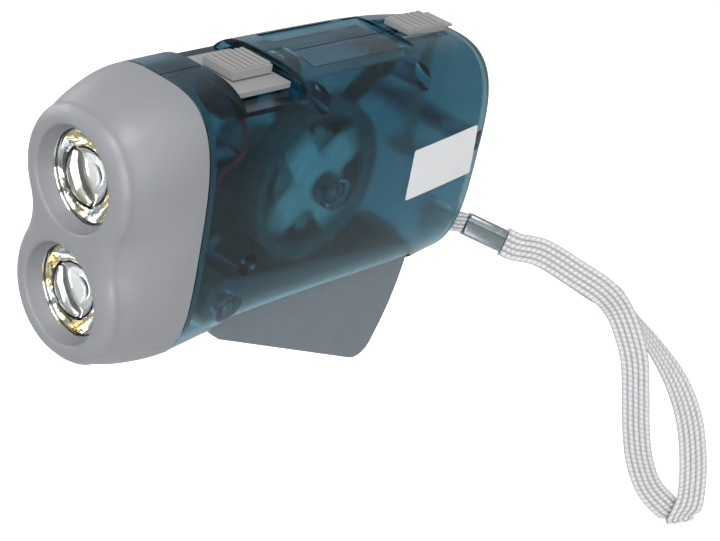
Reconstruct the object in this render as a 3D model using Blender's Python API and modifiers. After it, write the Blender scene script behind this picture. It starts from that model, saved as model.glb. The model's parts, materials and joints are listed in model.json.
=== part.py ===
"""Squeeze dynamo flashlight, built piece by piece in metres.

+X runs from the lamps to the tail, +Z is up and -Y is the side with the label.
The origin is the middle of the hand's grip, inside the housing.
The two clear housing halves meet at Y = 0 and carry every shaft of the dynamo.
"""

import math

import bmesh
import bpy
from mathutils import Matrix, Vector

# Fits
GAP = 0.0003
HALF_GAP = GAP / 2
OVERRUN = 0.0040
MERGE = 0.00001
SHARP_ANGLE = math.radians(35.0)
ROUTE_STEPS = 24

# Overall form
GRIP_FROM_FACE = 0.0580
BODY_LENGTH = 0.1062
HEAD_DEPTH = 0.0180
BODY_HALF_WIDTH = 0.0174
BODY_MID_Z = 0.0018
BODY_RISE = 0.0280
BODY_DROP = 0.0268
BODY_SQUARENESS_SHARE = 3.4
WALL = 0.0016
REAR_DOME = 0.0066
DOME_POWER_SHARE = 0.35
RING_POINTS = 36

FACE_X = -GRIP_FROM_FACE
SEAM_X = FACE_X + HEAD_DEPTH
REAR_X = FACE_X + BODY_LENGTH

# Along the housing: place, half width, rise and drop, as shares of the sizes above
HOUSING_SHARES = [
    (0.0, 0.975, 0.985, 0.985),
    (0.10, 0.985, 0.993, 0.98),
    (0.30, 1.0, 1.0, 0.985),
    (0.55, 1.0, 1.0, 1.01),
    (0.74, 1.0, 0.995, 1.035),
    (0.86, 0.99, 0.975, 1.045),
    (1.0, 0.97, 0.925, 1.0),
]
DOME_ANGLES = [math.radians(a) for a in (0, 20, 40, 58, 74, 86)]

# Lamp head
LOBE_SPACING = 0.0239
LOBE_RADIUS = 0.0114
WAIST_HALF_WIDTH = 0.0083
LOBE_STEPS = 8
WAIST_STEPS = 3
RECESS_RADIUS = 0.0100
RECESS_DEPTH = 0.0033
APERTURE_RADIUS = 0.0090
HEAD_SKIRT = 0.0030
SKIRT_WALL = 0.0012
HEAD_WALL = 0.0020
HEAD_FRONT_WALL = 0.0070
HEAD_CAVITY_TAPER = 0.0020
HEAD_STATION_SHARES = (0.0, 0.012, 0.039, 0.11, 0.22, 0.38, 0.56, 0.78, 1.0)
HEAD_EDGE_ROUND = 0.0007
SEAT_RADIUS = 0.0099
HEAD_GROWTH_SHARE = 0.8
HEAD_HOLLOW_SHARE = 1.6
WELL_SIDES = 32

# Lamps: clear window, turned reflector, LED with its board
WINDOW_THICKNESS = 0.0012
WINDOW_RADIUS = SEAT_RADIUS - GAP
DISH_SHARES = (0.0, 0.12, 0.3, 0.5, 0.72, 1.0)
LED_ANGLES = [math.radians(a) for a in (0, 30, 60, 90)]
LED_TURN_STEPS = 16
REFLECTOR_WALL = 0.0007
REFLECTOR_FLANGE = 0.0008
REFLECTOR_DEPTH = 0.0074
LED_RADIUS = 0.0025
LED_FLANGE_RADIUS = 0.0029
LED_FLANGE = 0.0010
LED_LENGTH = 0.0066
REFLECTOR_NECK = LED_RADIUS + GAP
BOARD_THICKNESS = 0.0012
LED_BOARD_HALF_WIDTH = 0.0070
LED_BOARD_HALF_HEIGHT = 0.0185
TURN_STEPS = 24

WINDOW_X = FACE_X + RECESS_DEPTH + GAP
REFLECTOR_X = WINDOW_X + WINDOW_THICKNESS + GAP
LED_FLANGE_X = REFLECTOR_X + REFLECTOR_DEPTH + GAP
LED_BOARD_X = LED_FLANGE_X + LED_FLANGE + GAP

# Crown: notch for the switch, sunk panel and track of the lock slider
NOTCH_FROM_FACE = 0.0285
NOTCH_LENGTH = 0.0162
NOTCH_FLOOR_Z = 0.0256
NOTCH_FLOOR = 0.0016
PANEL_FROM_FACE = 0.0506
PANEL_END_FROM_REAR = 0.0252
PANEL_HALF_WIDTH = 0.0083
PANEL_FLOOR_Z = 0.0287
ROOF_UNDERSIDE_Z = 0.0269
ROOF_END_FROM_REAR = 0.0142
TRACK_LENGTH = 0.0200
TRACK_HALF_WIDTH = 0.0046
TRACK_FLOOR_Z = 0.0281
CORNER_ROUND = 0.0012

NOTCH_X = FACE_X + NOTCH_FROM_FACE
HUMP_X = NOTCH_X + NOTCH_LENGTH
PANEL_X = FACE_X + PANEL_FROM_FACE
PANEL_END_X = REAR_X - PANEL_END_FROM_REAR
TRACK_X = PANEL_END_X + GAP
TRACK_END_X = TRACK_X + TRACK_LENGTH
ROOF_END_X = REAR_X - ROOF_END_FROM_REAR

# Switch
PLATE_HALF_WIDTH = 0.0086
PLATE_THICKNESS = 0.0012
PLATE_SLOT_HALF_WIDTH = 0.0016
PLATE_SLOT_LENGTH = 0.0062
PLATE_VENT_LENGTH = 0.0010
PLATE_VENT_HALF_WIDTH = 0.0009
PLATE_VENT_PITCH = 0.0027
PLATE_VENT_SETBACK = 0.0030
KNOB_SETBACK = 0.0044
KNOB_LENGTH = 0.0103
KNOB_HALF_WIDTH = 0.0043
KNOB_HEIGHT = 0.0021
KNOB_RIB = 0.0004
KNOB_RIBS = 7
KNOB_STEM_HALF_WIDTH = 0.0012
KNOB_STEM_LENGTH = 0.0028
SWITCH_TRAVEL = 0.0025
SWITCH_BLOCK_LENGTH = 0.0100
SWITCH_BLOCK_HALF_WIDTH = 0.0036
SWITCH_BLOCK_HEIGHT = 0.0046
STEM_REACH = 0.0012
RIB_START_SHARE = 0.2
RIB_WIDTH_SHARE = 0.6

KNOB_X = NOTCH_X + KNOB_SETBACK
STEM_X = KNOB_X + KNOB_LENGTH / 2 - KNOB_STEM_LENGTH / 2
STEM_SLOT_X = STEM_X - SWITCH_TRAVEL - GAP - HALF_GAP

# Lock slider
LOCK_TRAVEL = 0.0035
LOCK_KNOB_SETBACK = 0.0042
LOCK_KNOB_LENGTH = 0.0112
LOCK_TAIL_LENGTH = 0.0030
LOCK_NECK_SETBACK = 0.0016
LOCK_NECK_LENGTH = 0.0020
LOCK_BAR_SETBACK = 0.0107
LOCK_BAR_LENGTH = 0.0018
LOCK_STRIP = 0.0012
LOCK_STRIP_TOP_Z = 0.0256
LOCK_STRIP_LEAD = 0.0008
LOCK_HOOK_REACH = 0.0022
LOCK_HOOK_HEIGHT = 0.0024
LOCK_HOOK_TOP_Z = 0.0004
LOCK_KNOB_TOP_Z = 0.0301
LOCK_RIBS = 6
LOCK_RIB = 0.0004
LOCK_KNOB_HALF_WIDTH = 0.0040
LOCK_HOOK_HALF_WIDTH = 0.0030

LOCK_KNOB_X = TRACK_X + LOCK_KNOB_SETBACK
LOCK_NECK_X = LOCK_KNOB_X + LOCK_NECK_SETBACK

# Lever, drawn with its underside along +X from the pivot, then swung open
PIVOT_FROM_FACE = 0.0310
PIVOT_Z = -0.0165
LEVER_SIDE_INSET = 0.0056
LEVER_WALL = 0.0011
LEVER_DROP = 0.0081
LEVER_END_FROM_REAR = 0.0149
LEVER_CORNER = 0.0050
LEVER_EAR = 0.0050
LEVER_SWEEP = math.radians(21.5)
LEVER_OPEN = math.radians(24.0)
LEVER_STROKE = math.radians(22.0)
LEVER_LIP_REACH = 0.0032
LEVER_LIP_HEIGHT = 0.0026
LEVER_LIP_ANGLE = math.radians(18.9)
PIN_RADIUS = 0.0015
PIN_SEAT = 0.0018
LEVER_TOE = (0.0032, -0.0074)
LEVER_SOLE_START = 0.0060
NOSE_WALL = 0.0014
LEVER_LIP_HALF_WIDTH = 0.0050
EAR_START = math.radians(78.0)
NOSE_START = math.radians(90.0)
EAR_END = math.radians(262.0)
EAR_STEPS = 12
EAR_ROOM_SIDES = 28
CORNER_STEPS = 5
LEVER_ARC_STEPS = 5
LEVER_HALF_WIDTH = BODY_HALF_WIDTH - LEVER_SIDE_INSET
LEVER_REACH = BODY_LENGTH - PIVOT_FROM_FACE - LEVER_END_FROM_REAR
LEVER_ROOM = LEVER_HALF_WIDTH + GAP
LEVER_CORNER_U = math.sqrt((LEVER_REACH - LEVER_CORNER) ** 2 - (LEVER_DROP - LEVER_CORNER) ** 2)
REAR_START = math.atan2(LEVER_CORNER - LEVER_DROP, LEVER_CORNER_U)

# Return spring
SPRING_RADIUS = 0.0026
SPRING_WIRE = 0.0003
SPRING_TURNS = 5
SPRING_STEPS = 10
SPRING_LOW_Y = -0.0080
SPRING_LENGTH = 0.0060

# Gear train: the lever's rack turns the drive gear, which turns the ratchet gear
MODULE = 0.0008
PRESSURE_ANGLE = math.radians(25.0)
ADDENDUM_SHARE = 0.8
DEDENDUM_SHARE = 1.05
BACKLASH_SHARE = 0.10
RACK_TEETH = 102
PINION_TEETH = 12
WHEEL_TEETH = 32
RATCHET_PINION_TEETH = 10
RACK_BAND = 0.0047
RACK_SPARE = math.radians(3.2)
RACK_FACE = 0.0036
RACK_CENTRE_Y = 0.0012
GEAR_FACE = 0.0030
GEAR_CENTRE_Y = 0.0057
GEAR_WEB = 0.0012
GEAR_RIM = 0.0020
AXLE_RADIUS = 0.0010
GEAR_REACH = 0.0100
POCKET_SIDES = 20
RACK_FOOT = math.radians(-11.6)
RACK_FOOT_STEPS = 6
RACK_BACK_STEPS = 10
AXLE_FAR_Y = 0.0124

# Flywheel dynamo
FLYWHEEL_FROM_FACE = 0.0556
FLYWHEEL_Z = 0.0036
FLYWHEEL_RADIUS = 0.0175
FLYWHEEL_RIM = 0.0024
FLYWHEEL_RIM_DEPTH = 0.0045
FLYWHEEL_WEB = 0.0020
FLYWHEEL_NEAR_Y = -0.0103
FLYWHEEL_HUB = 0.0060
FLYWHEEL_COLLAR = 0.0036
FLYWHEEL_COLLAR_DEPTH = 0.0012
SPOKES = 4
SPOKE_HALF_WIDTH = 0.0036
SPOKE_LEAN = math.radians(38.0)
SHAFT_RADIUS = 0.0009
MAGNET_WALL = 0.0026
MAGNET_AIR_GAP = 0.0006
MAGNET_DEPTH = 0.0050
CLAW_PLATE = 0.0006
CLAW_PLATE_GAP = 0.0038
CLAWS = 6
CLAW_HALF_WIDTH = 0.0016
CLAW_THICKNESS = 0.0006
CLAW_REACH = 0.0026
BOBBIN_INSET = 0.0020
BOBBIN_BORE = 0.0022
BOBBIN_FLANGE = 0.0006
WINDING_INSET = 0.0008
WINDING_CORE = 0.0040
FRAME_THICKNESS = 0.0012
FRAME_RADIUS = 0.0110
FRAME_SIDES = 28
FRAME_ARM_HALF_WIDTH = 0.0026
RATCHET_RADIUS = 0.0036
RATCHET_TEETH = 8
RATCHET_TOOTH = 0.0008
RATCHET_FACE = 0.0022
PAWL_RING = 0.0050
PAWL_RING_WALL = 0.0007
BUSH_RADIUS = 0.0024
BUSH_LENGTH = 0.0024
FLYWHEEL_STEP = 0.0008
FLYWHEEL_STEPS = 36
WINDOW_STEPS = 6
SHAFT_NEAR_Y = -0.0142
SHAFT_FAR_Y = 0.0130
PAWL_END = 0.0007
PAWL_DEPTH = 0.0022
PAWLS = 3
PAWL_HALF_WIDTH = 0.0009
CLAW_BORE = 0.0022
EYE_WALL = 0.0015
FRAME_Y = -0.0026

CLAW_RADIUS = FLYWHEEL_RADIUS - FLYWHEEL_RIM - GAP - MAGNET_WALL - MAGNET_AIR_GAP
BOBBIN_RADIUS = CLAW_RADIUS - BOBBIN_INSET
WINDING_RADIUS = BOBBIN_RADIUS - WINDING_INSET
RATCHET_TOP_Y = GEAR_CENTRE_Y + GEAR_FACE / 2 + RATCHET_FACE
CLAW_FAR_Y = FRAME_Y - GAP
CLAW_NEAR_Y = CLAW_FAR_Y - 2 * CLAW_PLATE - CLAW_PLATE_GAP

# The lock slider's neck and strip pass beside the frame plate
LOCK_NECK_HALF_WIDTH = 0.0 - FRAME_Y - FRAME_THICKNESS - GAP
LOCK_BAR_HALF_WIDTH = LOCK_NECK_HALF_WIDTH

# Housing bosses
SCREW_RADIUS = 0.0011
SCREW_BOSS = 0.0024
SCREW_HEAD = 0.0019
SCREW_HEAD_DEPTH = 0.0012
SCREW_GRIP = 0.0060
SCREW_SINK = 0.0004
SCREW_HEAD_BOSS = 0.0030
LEVER_PIN_BOSS = 0.0032
LEVER_PIN_INSET = 0.0038
DRIVE_BOSS = 0.0026
DRIVE_BOSS_END = 0.0084
FLYWHEEL_BOSS = 0.0036
FLYWHEEL_BOSS_NEAR_END = 0.0121
FLYWHEEL_BOSS_FAR_END = 0.0109
BOSS_SIDES = 16
HOLE_SIDES = 12

LEVER_PIN_END = BODY_HALF_WIDTH - LEVER_PIN_INSET
BUSH_NEAR_Y = 0.0 - FLYWHEEL_BOSS_NEAR_END - BUSH_LENGTH
BUSH_FAR_Y = FLYWHEEL_BOSS_FAR_END

# Power: button cells in a holder, driver board and leads
CELL_RADIUS = 0.0058
CELL_HEIGHT = 0.0050
CELLS = 3
HOLDER_WALL = 0.0010
HOLDER_FROM_FACE = 0.0216
HOLDER_FLOOR_Z = 0.0030
DRIVER_FROM_FACE = 0.0460
DRIVER_LENGTH = 0.0210
DRIVER_HEIGHT = 0.0090
DRIVER_Z = 0.0117
DRIVER_Y = 0.0112
LEAD_RADIUS = 0.0006
LEAD_STEP = 0.0016
HOLDER_HEIGHT = 0.0100
CELL_SIDES = 24
HOLDER_X = FACE_X + HOLDER_FROM_FACE
HOLDER_LENGTH = 2 * (CELL_RADIUS + GAP + HOLDER_WALL)
HOLDER_HALF_WIDTH = (CELLS * CELL_HEIGHT + (CELLS + 1) * GAP) / 2 + HOLDER_WALL
RED_ROUTE = [
    (-0.0235, -0.0041, 0.0210),
    (-0.0243, -0.0078, 0.0198),
    (-0.0263, -0.0110, 0.0167),
    (-0.0285, -0.0112, 0.0144),
    (-0.0320, -0.0112, 0.0128),
    (-0.0330, -0.0112, 0.0106),
    (-0.0315, -0.0108, 0.0092),
    (-0.0300, -0.0096, 0.0087),
]
BLACK_ROUTE = [
    (-0.0280, 0.0096, 0.0087),
    (-0.0262, 0.0112, 0.0096),
    (-0.0215, 0.0120, 0.0120),
    (-0.0160, 0.0119, 0.0142),
    (-0.0125, 0.0118, 0.0150),
]

# Screws: distance from the face, height
SCREW_REAR_INSET = 0.0046
SCREW_PANEL_FROM_REAR = 0.0262
SCREW_PLACES = [
    (0.0326, -0.0063),
    (BODY_LENGTH - SCREW_REAR_INSET, 0.0060),
    (0.0490, 0.0240),
    (BODY_LENGTH - SCREW_PANEL_FROM_REAR, 0.0235),
]

# Opening for the lever, as distance from the face and height of each corner
SLOT_END_FROM_REAR = 0.0143
SLOT_BEND_FROM_REAR = 0.0177
SLOT_OUTLINE = [
    (0.0281, -0.0320),
    (0.0281, -0.0209),
    (0.0336, -0.0192),
    (BODY_LENGTH - SLOT_BEND_FROM_REAR, -0.0203),
    (BODY_LENGTH - SLOT_END_FROM_REAR, -0.0225),
    (BODY_LENGTH - SLOT_END_FROM_REAR, -0.0320),
]

# Room for the lever's heel behind its opening: distance from the rear, heights
HEEL_ROOM_FROM_REAR = 0.0202
HEEL_ROOM_LOW_Z = -0.0223
HEEL_ROOM_HIGH_Z = -0.0185

# Strap anchor, ferrule and wrist strap
ANCHOR_FROM_REAR = 0.0052
ANCHOR_Y = -0.0075
ANCHOR_Z = -0.0165
ANCHOR_RADIUS = 0.0010
ANCHOR_HALF_HEIGHT = 0.0052
LUG = 0.0014
LUG_HALF_WIDTH = 0.0030
LUG_INSET = 0.0022
LUG_HALF_SPAN = 0.0035
STRAP_WIDTH = 0.0068
STRAP_THICKNESS = 0.0007
STRAP_LAYER_GAP = 0.0004
STRAP_STEP = 0.0024
NECK_WIDTH = 0.0046
STRAP_SLOT_HALF_WIDTH = 0.0022
FERRULE_START = (0.0507, -0.0138, -0.0178)
FERRULE_END = (0.0578, -0.0208, -0.0210)
FERRULE_WIDTH = 0.0054
FERRULE_THICKNESS = 0.0030
FERRULE_ROUND = 0.0005

# The braid's flat side turns its back to this way, and its fold lies across the other
STRAP_BACK = (0.7085, 0.5199, -0.4772)
STRAP_FOLD_WAY = (-0.693, 0.640, -0.331)
STRAP_FOLD_RADIUS = 0.0009

# The strap's route: both layers together, then down one arm and up the other
STRAP_SHARED = [
    (0.0645, -0.0274, -0.0225),
    (0.0704, -0.0349, -0.0261),
    (0.0750, -0.0408, -0.0294),
]
STRAP_DOWN = [
    (0.0778, -0.0452, -0.0332),
    (0.0793, -0.0488, -0.0385),
    (0.0799, -0.0523, -0.0445),
    (0.0799, -0.0555, -0.0530),
    (0.0804, -0.0583, -0.0618),
    (0.0816, -0.0614, -0.0700),
    (0.0840, -0.0652, -0.0770),
    (0.0874, -0.0698, -0.0815),
]
STRAP_FOLD = (0.0890, -0.0733, -0.0832)
STRAP_UP = [
    (0.0896, -0.0742, -0.0790),
    (0.0904, -0.0729, -0.0735),
    (0.0905, -0.0702, -0.0655),
    (0.0898, -0.0663, -0.0567),
    (0.0882, -0.0608, -0.0487),
    (0.0858, -0.0538, -0.0419),
    (0.0829, -0.0472, -0.0364),
    (0.0794, -0.0433, -0.0321),
]
# Turn of the flat about the rising arm at each of its points, in degrees
STRAP_UP_TURNS = [0, 0, 0, 8, 25, 45, 55, 28]
NECK_STEPS = 5
BIGHT_STEPS = 8
FOLD_STEPS = 4

SCREWS = [(FACE_X + distance, height) for distance, height in SCREW_PLACES]
ANCHOR = (REAR_X - ANCHOR_FROM_REAR, ANCHOR_Y, ANCHOR_Z)
PIVOT = (FACE_X + PIVOT_FROM_FACE, PIVOT_Z)
FLYWHEEL = (FACE_X + FLYWHEEL_FROM_FACE, FLYWHEEL_Z)


def shift(point, along=0.0, up=0.0):
    """A point of the XZ plane moved along and up."""
    return (point[0] + along, point[1] + up)


def polar(centre, radius, angle):
    """The point at a radius and an angle round a centre, in the XZ plane."""
    return (centre[0] + radius * math.cos(angle), centre[1] + radius * math.sin(angle))


def arc(centre, radius, start, end, steps):
    """Points along an arc, both ends included."""
    return [polar(centre, radius, start + (end - start) * i / steps) for i in range(steps + 1)]


def circle(centre, radius, steps):
    """A closed circle of points."""
    return [polar(centre, radius, math.tau * i / steps) for i in range(steps)]


def mesh_point(first, first_reach, second, second_reach):
    """Where a gear's centre lies, at given distances from two others, on their tail side."""
    between = Vector(second) - Vector(first)
    span = between.length
    along = (first_reach**2 - second_reach**2 + span**2) / (2 * span)
    aside = math.sqrt(first_reach**2 - along**2)
    forward = between / span
    tailward = Vector((forward.y, -forward.x))
    return tuple(Vector(first) + forward * along + tailward * aside)


# The scene


def clear_scene():
    """Empties the scene that the script starts in."""
    for item in list(bpy.data.objects):
        bpy.data.objects.remove(item, do_unlink=True)


def new_collection(name):
    """A collection linked to the scene."""
    collection = bpy.data.collections.new(name)
    bpy.context.scene.collection.children.link(collection)
    return collection


clear_scene()
PARTS = new_collection("squeeze_dynamo_flashlight")
CUTTERS = new_collection("cutters")


def finish(name, colour, roughness, metallic=0.0, alpha=1.0):
    """A Principled material."""
    material = bpy.data.materials.new(name)
    material.use_nodes = True
    shader = material.node_tree.nodes["Principled BSDF"]
    shader.inputs["Base Color"].default_value = (*colour, 1.0)
    shader.inputs["Roughness"].default_value = roughness
    shader.inputs["Metallic"].default_value = metallic
    shader.inputs["Alpha"].default_value = alpha
    return material


def axis_empty(name, x, z):
    """An empty on a turning axis, which runs along Y."""
    empty = bpy.data.objects.new(name, None)
    empty.location = (x, 0, z)
    PARTS.objects.link(empty)
    return empty


def add_piece(name, mesh, material, carrier=None, origin=(0, 0, 0)):
    """Makes one named piece. Its mesh is drawn about its origin."""
    piece = bpy.data.objects.new(name, mesh)
    PARTS.objects.link(piece)
    piece.location = origin
    if carrier is not None:
        piece.parent = carrier
        piece.location = Vector(origin) - carrier.location
    piece.data.materials.append(material)
    return piece


def add_cutter(name, mesh, origin=(0, 0, 0)):
    """Makes a helper solid that is only used by modifiers."""
    cutter = bpy.data.objects.new(name, mesh)
    CUTTERS.objects.link(cutter)
    cutter.location = origin
    cutter.hide_render = True
    cutter.display_type = "WIRE"
    return cutter


def boolean(piece, cutter, operation="DIFFERENCE"):
    """Cuts, joins or intersects a piece with a helper solid."""
    step = piece.modifiers.new(operation.lower(), "BOOLEAN")
    step.operation = operation
    step.solver = "EXACT"
    step.object = cutter
    return step


def bevel(piece, width, segments=2, angle=math.radians(40)):
    """Rounds the sharp edges of a piece."""
    step = piece.modifiers.new("bevel", "BEVEL")
    step.width = width
    step.segments = segments
    step.limit_method = "ANGLE"
    step.angle_limit = angle
    return step


# Meshes


def to_mesh(name, shape):
    """Closes a bmesh into a mesh with its faces outwards, smooth but for its sharp edges."""
    bmesh.ops.recalc_face_normals(shape, faces=shape.faces)
    mesh = bpy.data.meshes.new(name)
    shape.to_mesh(mesh)
    shape.free()
    mesh.shade_smooth()
    mesh.set_sharp_from_angle(angle=SHARP_ANGLE)
    return mesh


def block(name, low, high):
    """A box between two corners."""
    low, high = Vector(low), Vector(high)
    size = high - low
    place = Matrix.Translation((low + high) / 2) @ Matrix.Diagonal((*size, 1))
    shape = bmesh.new()
    bmesh.ops.create_cube(shape, size=1.0, matrix=place)
    return to_mesh(name, shape)


def rod(name, radius, low_y, high_y, centre=(0, 0), sides=20):
    """A cylinder that runs along Y."""
    turn = Matrix.Rotation(-math.pi / 2, 4, "X")
    place = Matrix.Translation((centre[0], (low_y + high_y) / 2, centre[1])) @ turn
    shape = bmesh.new()
    bmesh.ops.create_cone(
        shape,
        cap_ends=True,
        segments=sides,
        radius1=radius,
        radius2=radius,
        depth=high_y - low_y,
        matrix=place,
    )
    return to_mesh(name, shape)


def plate(name, outlines, low_y, high_y):
    """A flat plate across Y from outlines in the XZ plane. Inner outlines are holes."""
    curve = bpy.data.curves.new(name, "CURVE")
    curve.dimensions = "2D"
    curve.fill_mode = "BOTH"
    curve.extrude = (high_y - low_y) / 2
    for outline in outlines:
        spline = curve.splines.new("POLY")
        spline.points.add(len(outline) - 1)
        for point, (x, z) in zip(spline.points, outline):
            point.co = (x, z, 0, 1)
        spline.use_cyclic_u = True
    guide = bpy.data.objects.new(name, curve)
    CUTTERS.objects.link(guide)
    bpy.context.view_layer.update()
    evaluated = guide.evaluated_get(bpy.context.evaluated_depsgraph_get())
    flat = bpy.data.meshes.new_from_object(evaluated)
    bpy.data.objects.remove(guide)
    shape = bmesh.new()
    shape.from_mesh(flat)
    bmesh.ops.remove_doubles(shape, verts=shape.verts, dist=MERGE)
    stand = Matrix.Translation((0, (low_y + high_y) / 2, 0)) @ Matrix.Rotation(math.pi / 2, 4, "X")
    bmesh.ops.transform(shape, matrix=stand, verts=shape.verts)
    bpy.data.meshes.remove(flat)
    return to_mesh(name, shape)


def loft(name, rings, cap_start=True, cap_end=True):
    """A skin through rings of equal count, with flat caps where asked."""
    shape = bmesh.new()
    loops = [[shape.verts.new(point) for point in ring] for ring in rings]
    count = len(loops[0])
    for near, far in zip(loops, loops[1:]):
        for i in range(count):
            j = (i + 1) % count
            shape.faces.new((near[i], near[j], far[j], far[i]))
    if cap_start:
        shape.faces.new(loops[0])
    if cap_end:
        shape.faces.new(reversed(loops[-1]))
    return to_mesh(name, shape)


def turned(name, profile, material, origin, facing, closed=False, carrier=None, steps=TURN_STEPS):
    """A turned piece. Its profile of (radius, height) runs down the outer side."""
    mesh = bpy.data.meshes.new(name)
    count = len(profile)
    edges = [(i, i + 1) for i in range(count - 1)] + ([(count - 1, 0)] if closed else [])
    mesh.from_pydata([(radius, 0, height) for radius, height in profile], edges, [])
    piece = add_piece(name, mesh, material, carrier, origin)
    piece.rotation_euler = facing
    screw = piece.modifiers.new("turn", "SCREW")
    screw.steps = steps
    screw.render_steps = steps
    screw.use_merge_vertices = True
    screw.merge_threshold = MERGE
    return piece


def tube(name, points, radius, sides_level=2):
    """A wire through points, closed at both ends, as a mesh."""
    curve = bpy.data.curves.new(name, "CURVE")
    curve.dimensions = "3D"
    curve.bevel_depth = radius
    curve.bevel_resolution = sides_level
    curve.use_fill_caps = True
    spline = curve.splines.new("POLY")
    spline.points.add(len(points) - 1)
    for place, point in zip(spline.points, points):
        place.co = (*point, 1)
    guide = bpy.data.objects.new(name, curve)
    CUTTERS.objects.link(guide)
    bpy.context.view_layer.update()
    evaluated = guide.evaluated_get(bpy.context.evaluated_depsgraph_get())
    wire = bpy.data.meshes.new_from_object(evaluated)
    bpy.data.objects.remove(guide)
    shape = bmesh.new()
    shape.from_mesh(wire)
    bmesh.ops.remove_doubles(shape, verts=shape.verts, dist=MERGE)
    bpy.data.meshes.remove(wire)
    return to_mesh(name, shape)


def joined(name, meshes):
    """Several closed solids kept apart in one mesh, for identical small pieces."""
    shape = bmesh.new()
    for mesh in meshes:
        shape.from_mesh(mesh)
    return to_mesh(name, shape)


def smooth_route(points, step):
    """Points at an even step along a smooth curve through a route's own points."""
    route = [Vector(point) for point in points]
    ends = [route[0] * 2 - route[1], *route, route[-1] * 2 - route[-2]]
    fine = []
    for corners in zip(ends, ends[1:], ends[2:], ends[3:]):
        fine += smooth_span(*corners)
    fine.append(route[-1])
    length = sum((b - a).length for a, b in zip(fine, fine[1:]))
    count = max(2, round(length / step))
    places, walked, target = [fine[0]], 0.0, length / count
    for a, b in zip(fine, fine[1:]):
        part = (b - a).length
        while walked + part >= target * len(places) and len(places) < count:
            places.append(a.lerp(b, (target * len(places) - walked) / part))
        walked += part
    places.append(fine[-1])
    return places


def smooth_span(a, b, c, d):
    """The curve from b to c, with knots spaced by the root of each distance."""
    first = math.sqrt((b - a).length)
    second = first + math.sqrt((c - b).length)
    third = second + math.sqrt((d - c).length)
    points = []
    for i in range(ROUTE_STEPS):
        t = first + (second - first) * i / ROUTE_STEPS
        share = (t - first) / (second - first)
        ab, bc, cd = a.lerp(b, t / first), b.lerp(c, share), c.lerp(d, (t - second) / (third - second))
        points.append(ab.lerp(bc, t / second).lerp(bc.lerp(cd, (t - first) / (third - first)), share))
    return points


# Sections of the body


def power_point(angle, half_width, rise, drop, squareness):
    """One point of a rounded section round the body's middle height."""
    across = abs(math.cos(angle)) ** (2 / squareness)
    up = abs(math.sin(angle)) ** (2 / squareness)
    height = rise if math.sin(angle) >= 0 else drop
    return (
        math.copysign(half_width * across, math.cos(angle)),
        BODY_MID_Z + math.copysign(height * up, math.sin(angle)),
    )


def body_size(x):
    """Half width, rise and drop of the housing at one place along X."""
    share = (x - SEAM_X) / (REAR_X - REAR_DOME - SEAM_X)
    share = min(1.0, max(0.0, share))
    for (a, *low), (b, *high) in zip(HOUSING_SHARES, HOUSING_SHARES[1:]):
        if share <= b:
            part = (share - a) / (b - a)
            width, rise, drop = (p + (q - p) * part for p, q in zip(low, high))
            break
    return width * BODY_HALF_WIDTH, rise * BODY_RISE, drop * BODY_DROP


def body_ring(x, inset=0.0, size_x=None, scale=1.0):
    """A ring of the housing's section, drawn in by an inset or scaled."""
    width, rise, drop = (value * scale - inset for value in body_size(x if size_x is None else size_x))
    points = []
    for i in range(RING_POINTS):
        y, z = power_point(math.tau * i / RING_POINTS, width, rise, drop, BODY_SQUARENESS_SHARE)
        points.append((x, y, z))
    return points


def body_half_width(x, z):
    """How far the housing's outer skin lies from Y = 0 at one place and height."""
    past = max(0.0, x - REAR_X + REAR_DOME) / REAR_DOME
    scale = math.sqrt(1 - past**2) ** DOME_POWER_SHARE
    width, rise, drop = (value * scale for value in body_size(x))
    share = abs(z - BODY_MID_Z) / (rise if z >= BODY_MID_Z else drop)
    return width * (1 - share**BODY_SQUARENESS_SHARE) ** (1 / BODY_SQUARENESS_SHARE)


# Materials

CLEAR_SHELL = finish("clear_teal_plastic", (0.05, 0.24, 0.32), 0.12, alpha=0.45)
GREY_SHELL = finish("satin_grey_plastic", (0.36, 0.37, 0.39), 0.45)
GREY_TRIM = finish("matt_grey_plastic", (0.34, 0.34, 0.34), 0.5)
LEVER_GREY = finish("slate_grey_plastic", (0.17, 0.20, 0.23), 0.45)
CHROME = finish("chrome_dish", (0.85, 0.85, 0.83), 0.08, metallic=1.0)
CLEAR = finish("clear_window", (0.9, 0.95, 0.97), 0.05, alpha=0.25)
LED_CLEAR = finish("clear_led", (0.9, 0.9, 0.85), 0.1, alpha=0.5)
STEEL = finish("plated_steel", (0.55, 0.56, 0.57), 0.3, metallic=1.0)
MAGNET = finish("black_magnet", (0.03, 0.03, 0.035), 0.5)
COPPER = finish("copper_wire", (0.65, 0.28, 0.12), 0.35, metallic=1.0)
NYLON = finish("white_nylon", (0.75, 0.76, 0.74), 0.4)
PALE_PLASTIC = finish("pale_clear_plastic", (0.45, 0.62, 0.66), 0.25)
BLACK = finish("black_plastic", (0.02, 0.02, 0.022), 0.5)
GREEN_BOARD = finish("board_green", (0.03, 0.16, 0.07), 0.5)
RED_SLEEVE = finish("red_sleeve", (0.55, 0.03, 0.05), 0.45)
BLACK_SLEEVE = finish("black_sleeve", (0.02, 0.02, 0.02), 0.45)
WHITE_BRAID = finish("white_braid", (0.85, 0.86, 0.87), 0.7)

# Gear centres
LEVER_CENTRES = MODULE * (RACK_TEETH + PINION_TEETH) / 2
TRAIN_CENTRES = MODULE * (WHEEL_TEETH + RATCHET_PINION_TEETH) / 2
DRIVE = mesh_point(PIVOT, LEVER_CENTRES, FLYWHEEL, TRAIN_CENTRES)
TO_DRIVE = math.atan2(DRIVE[1] - PIVOT[1], DRIVE[0] - PIVOT[0])
TO_RATCHET = math.atan2(FLYWHEEL[1] - DRIVE[1], FLYWHEEL[0] - DRIVE[0])
ORIGIN = (0, 0)

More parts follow.
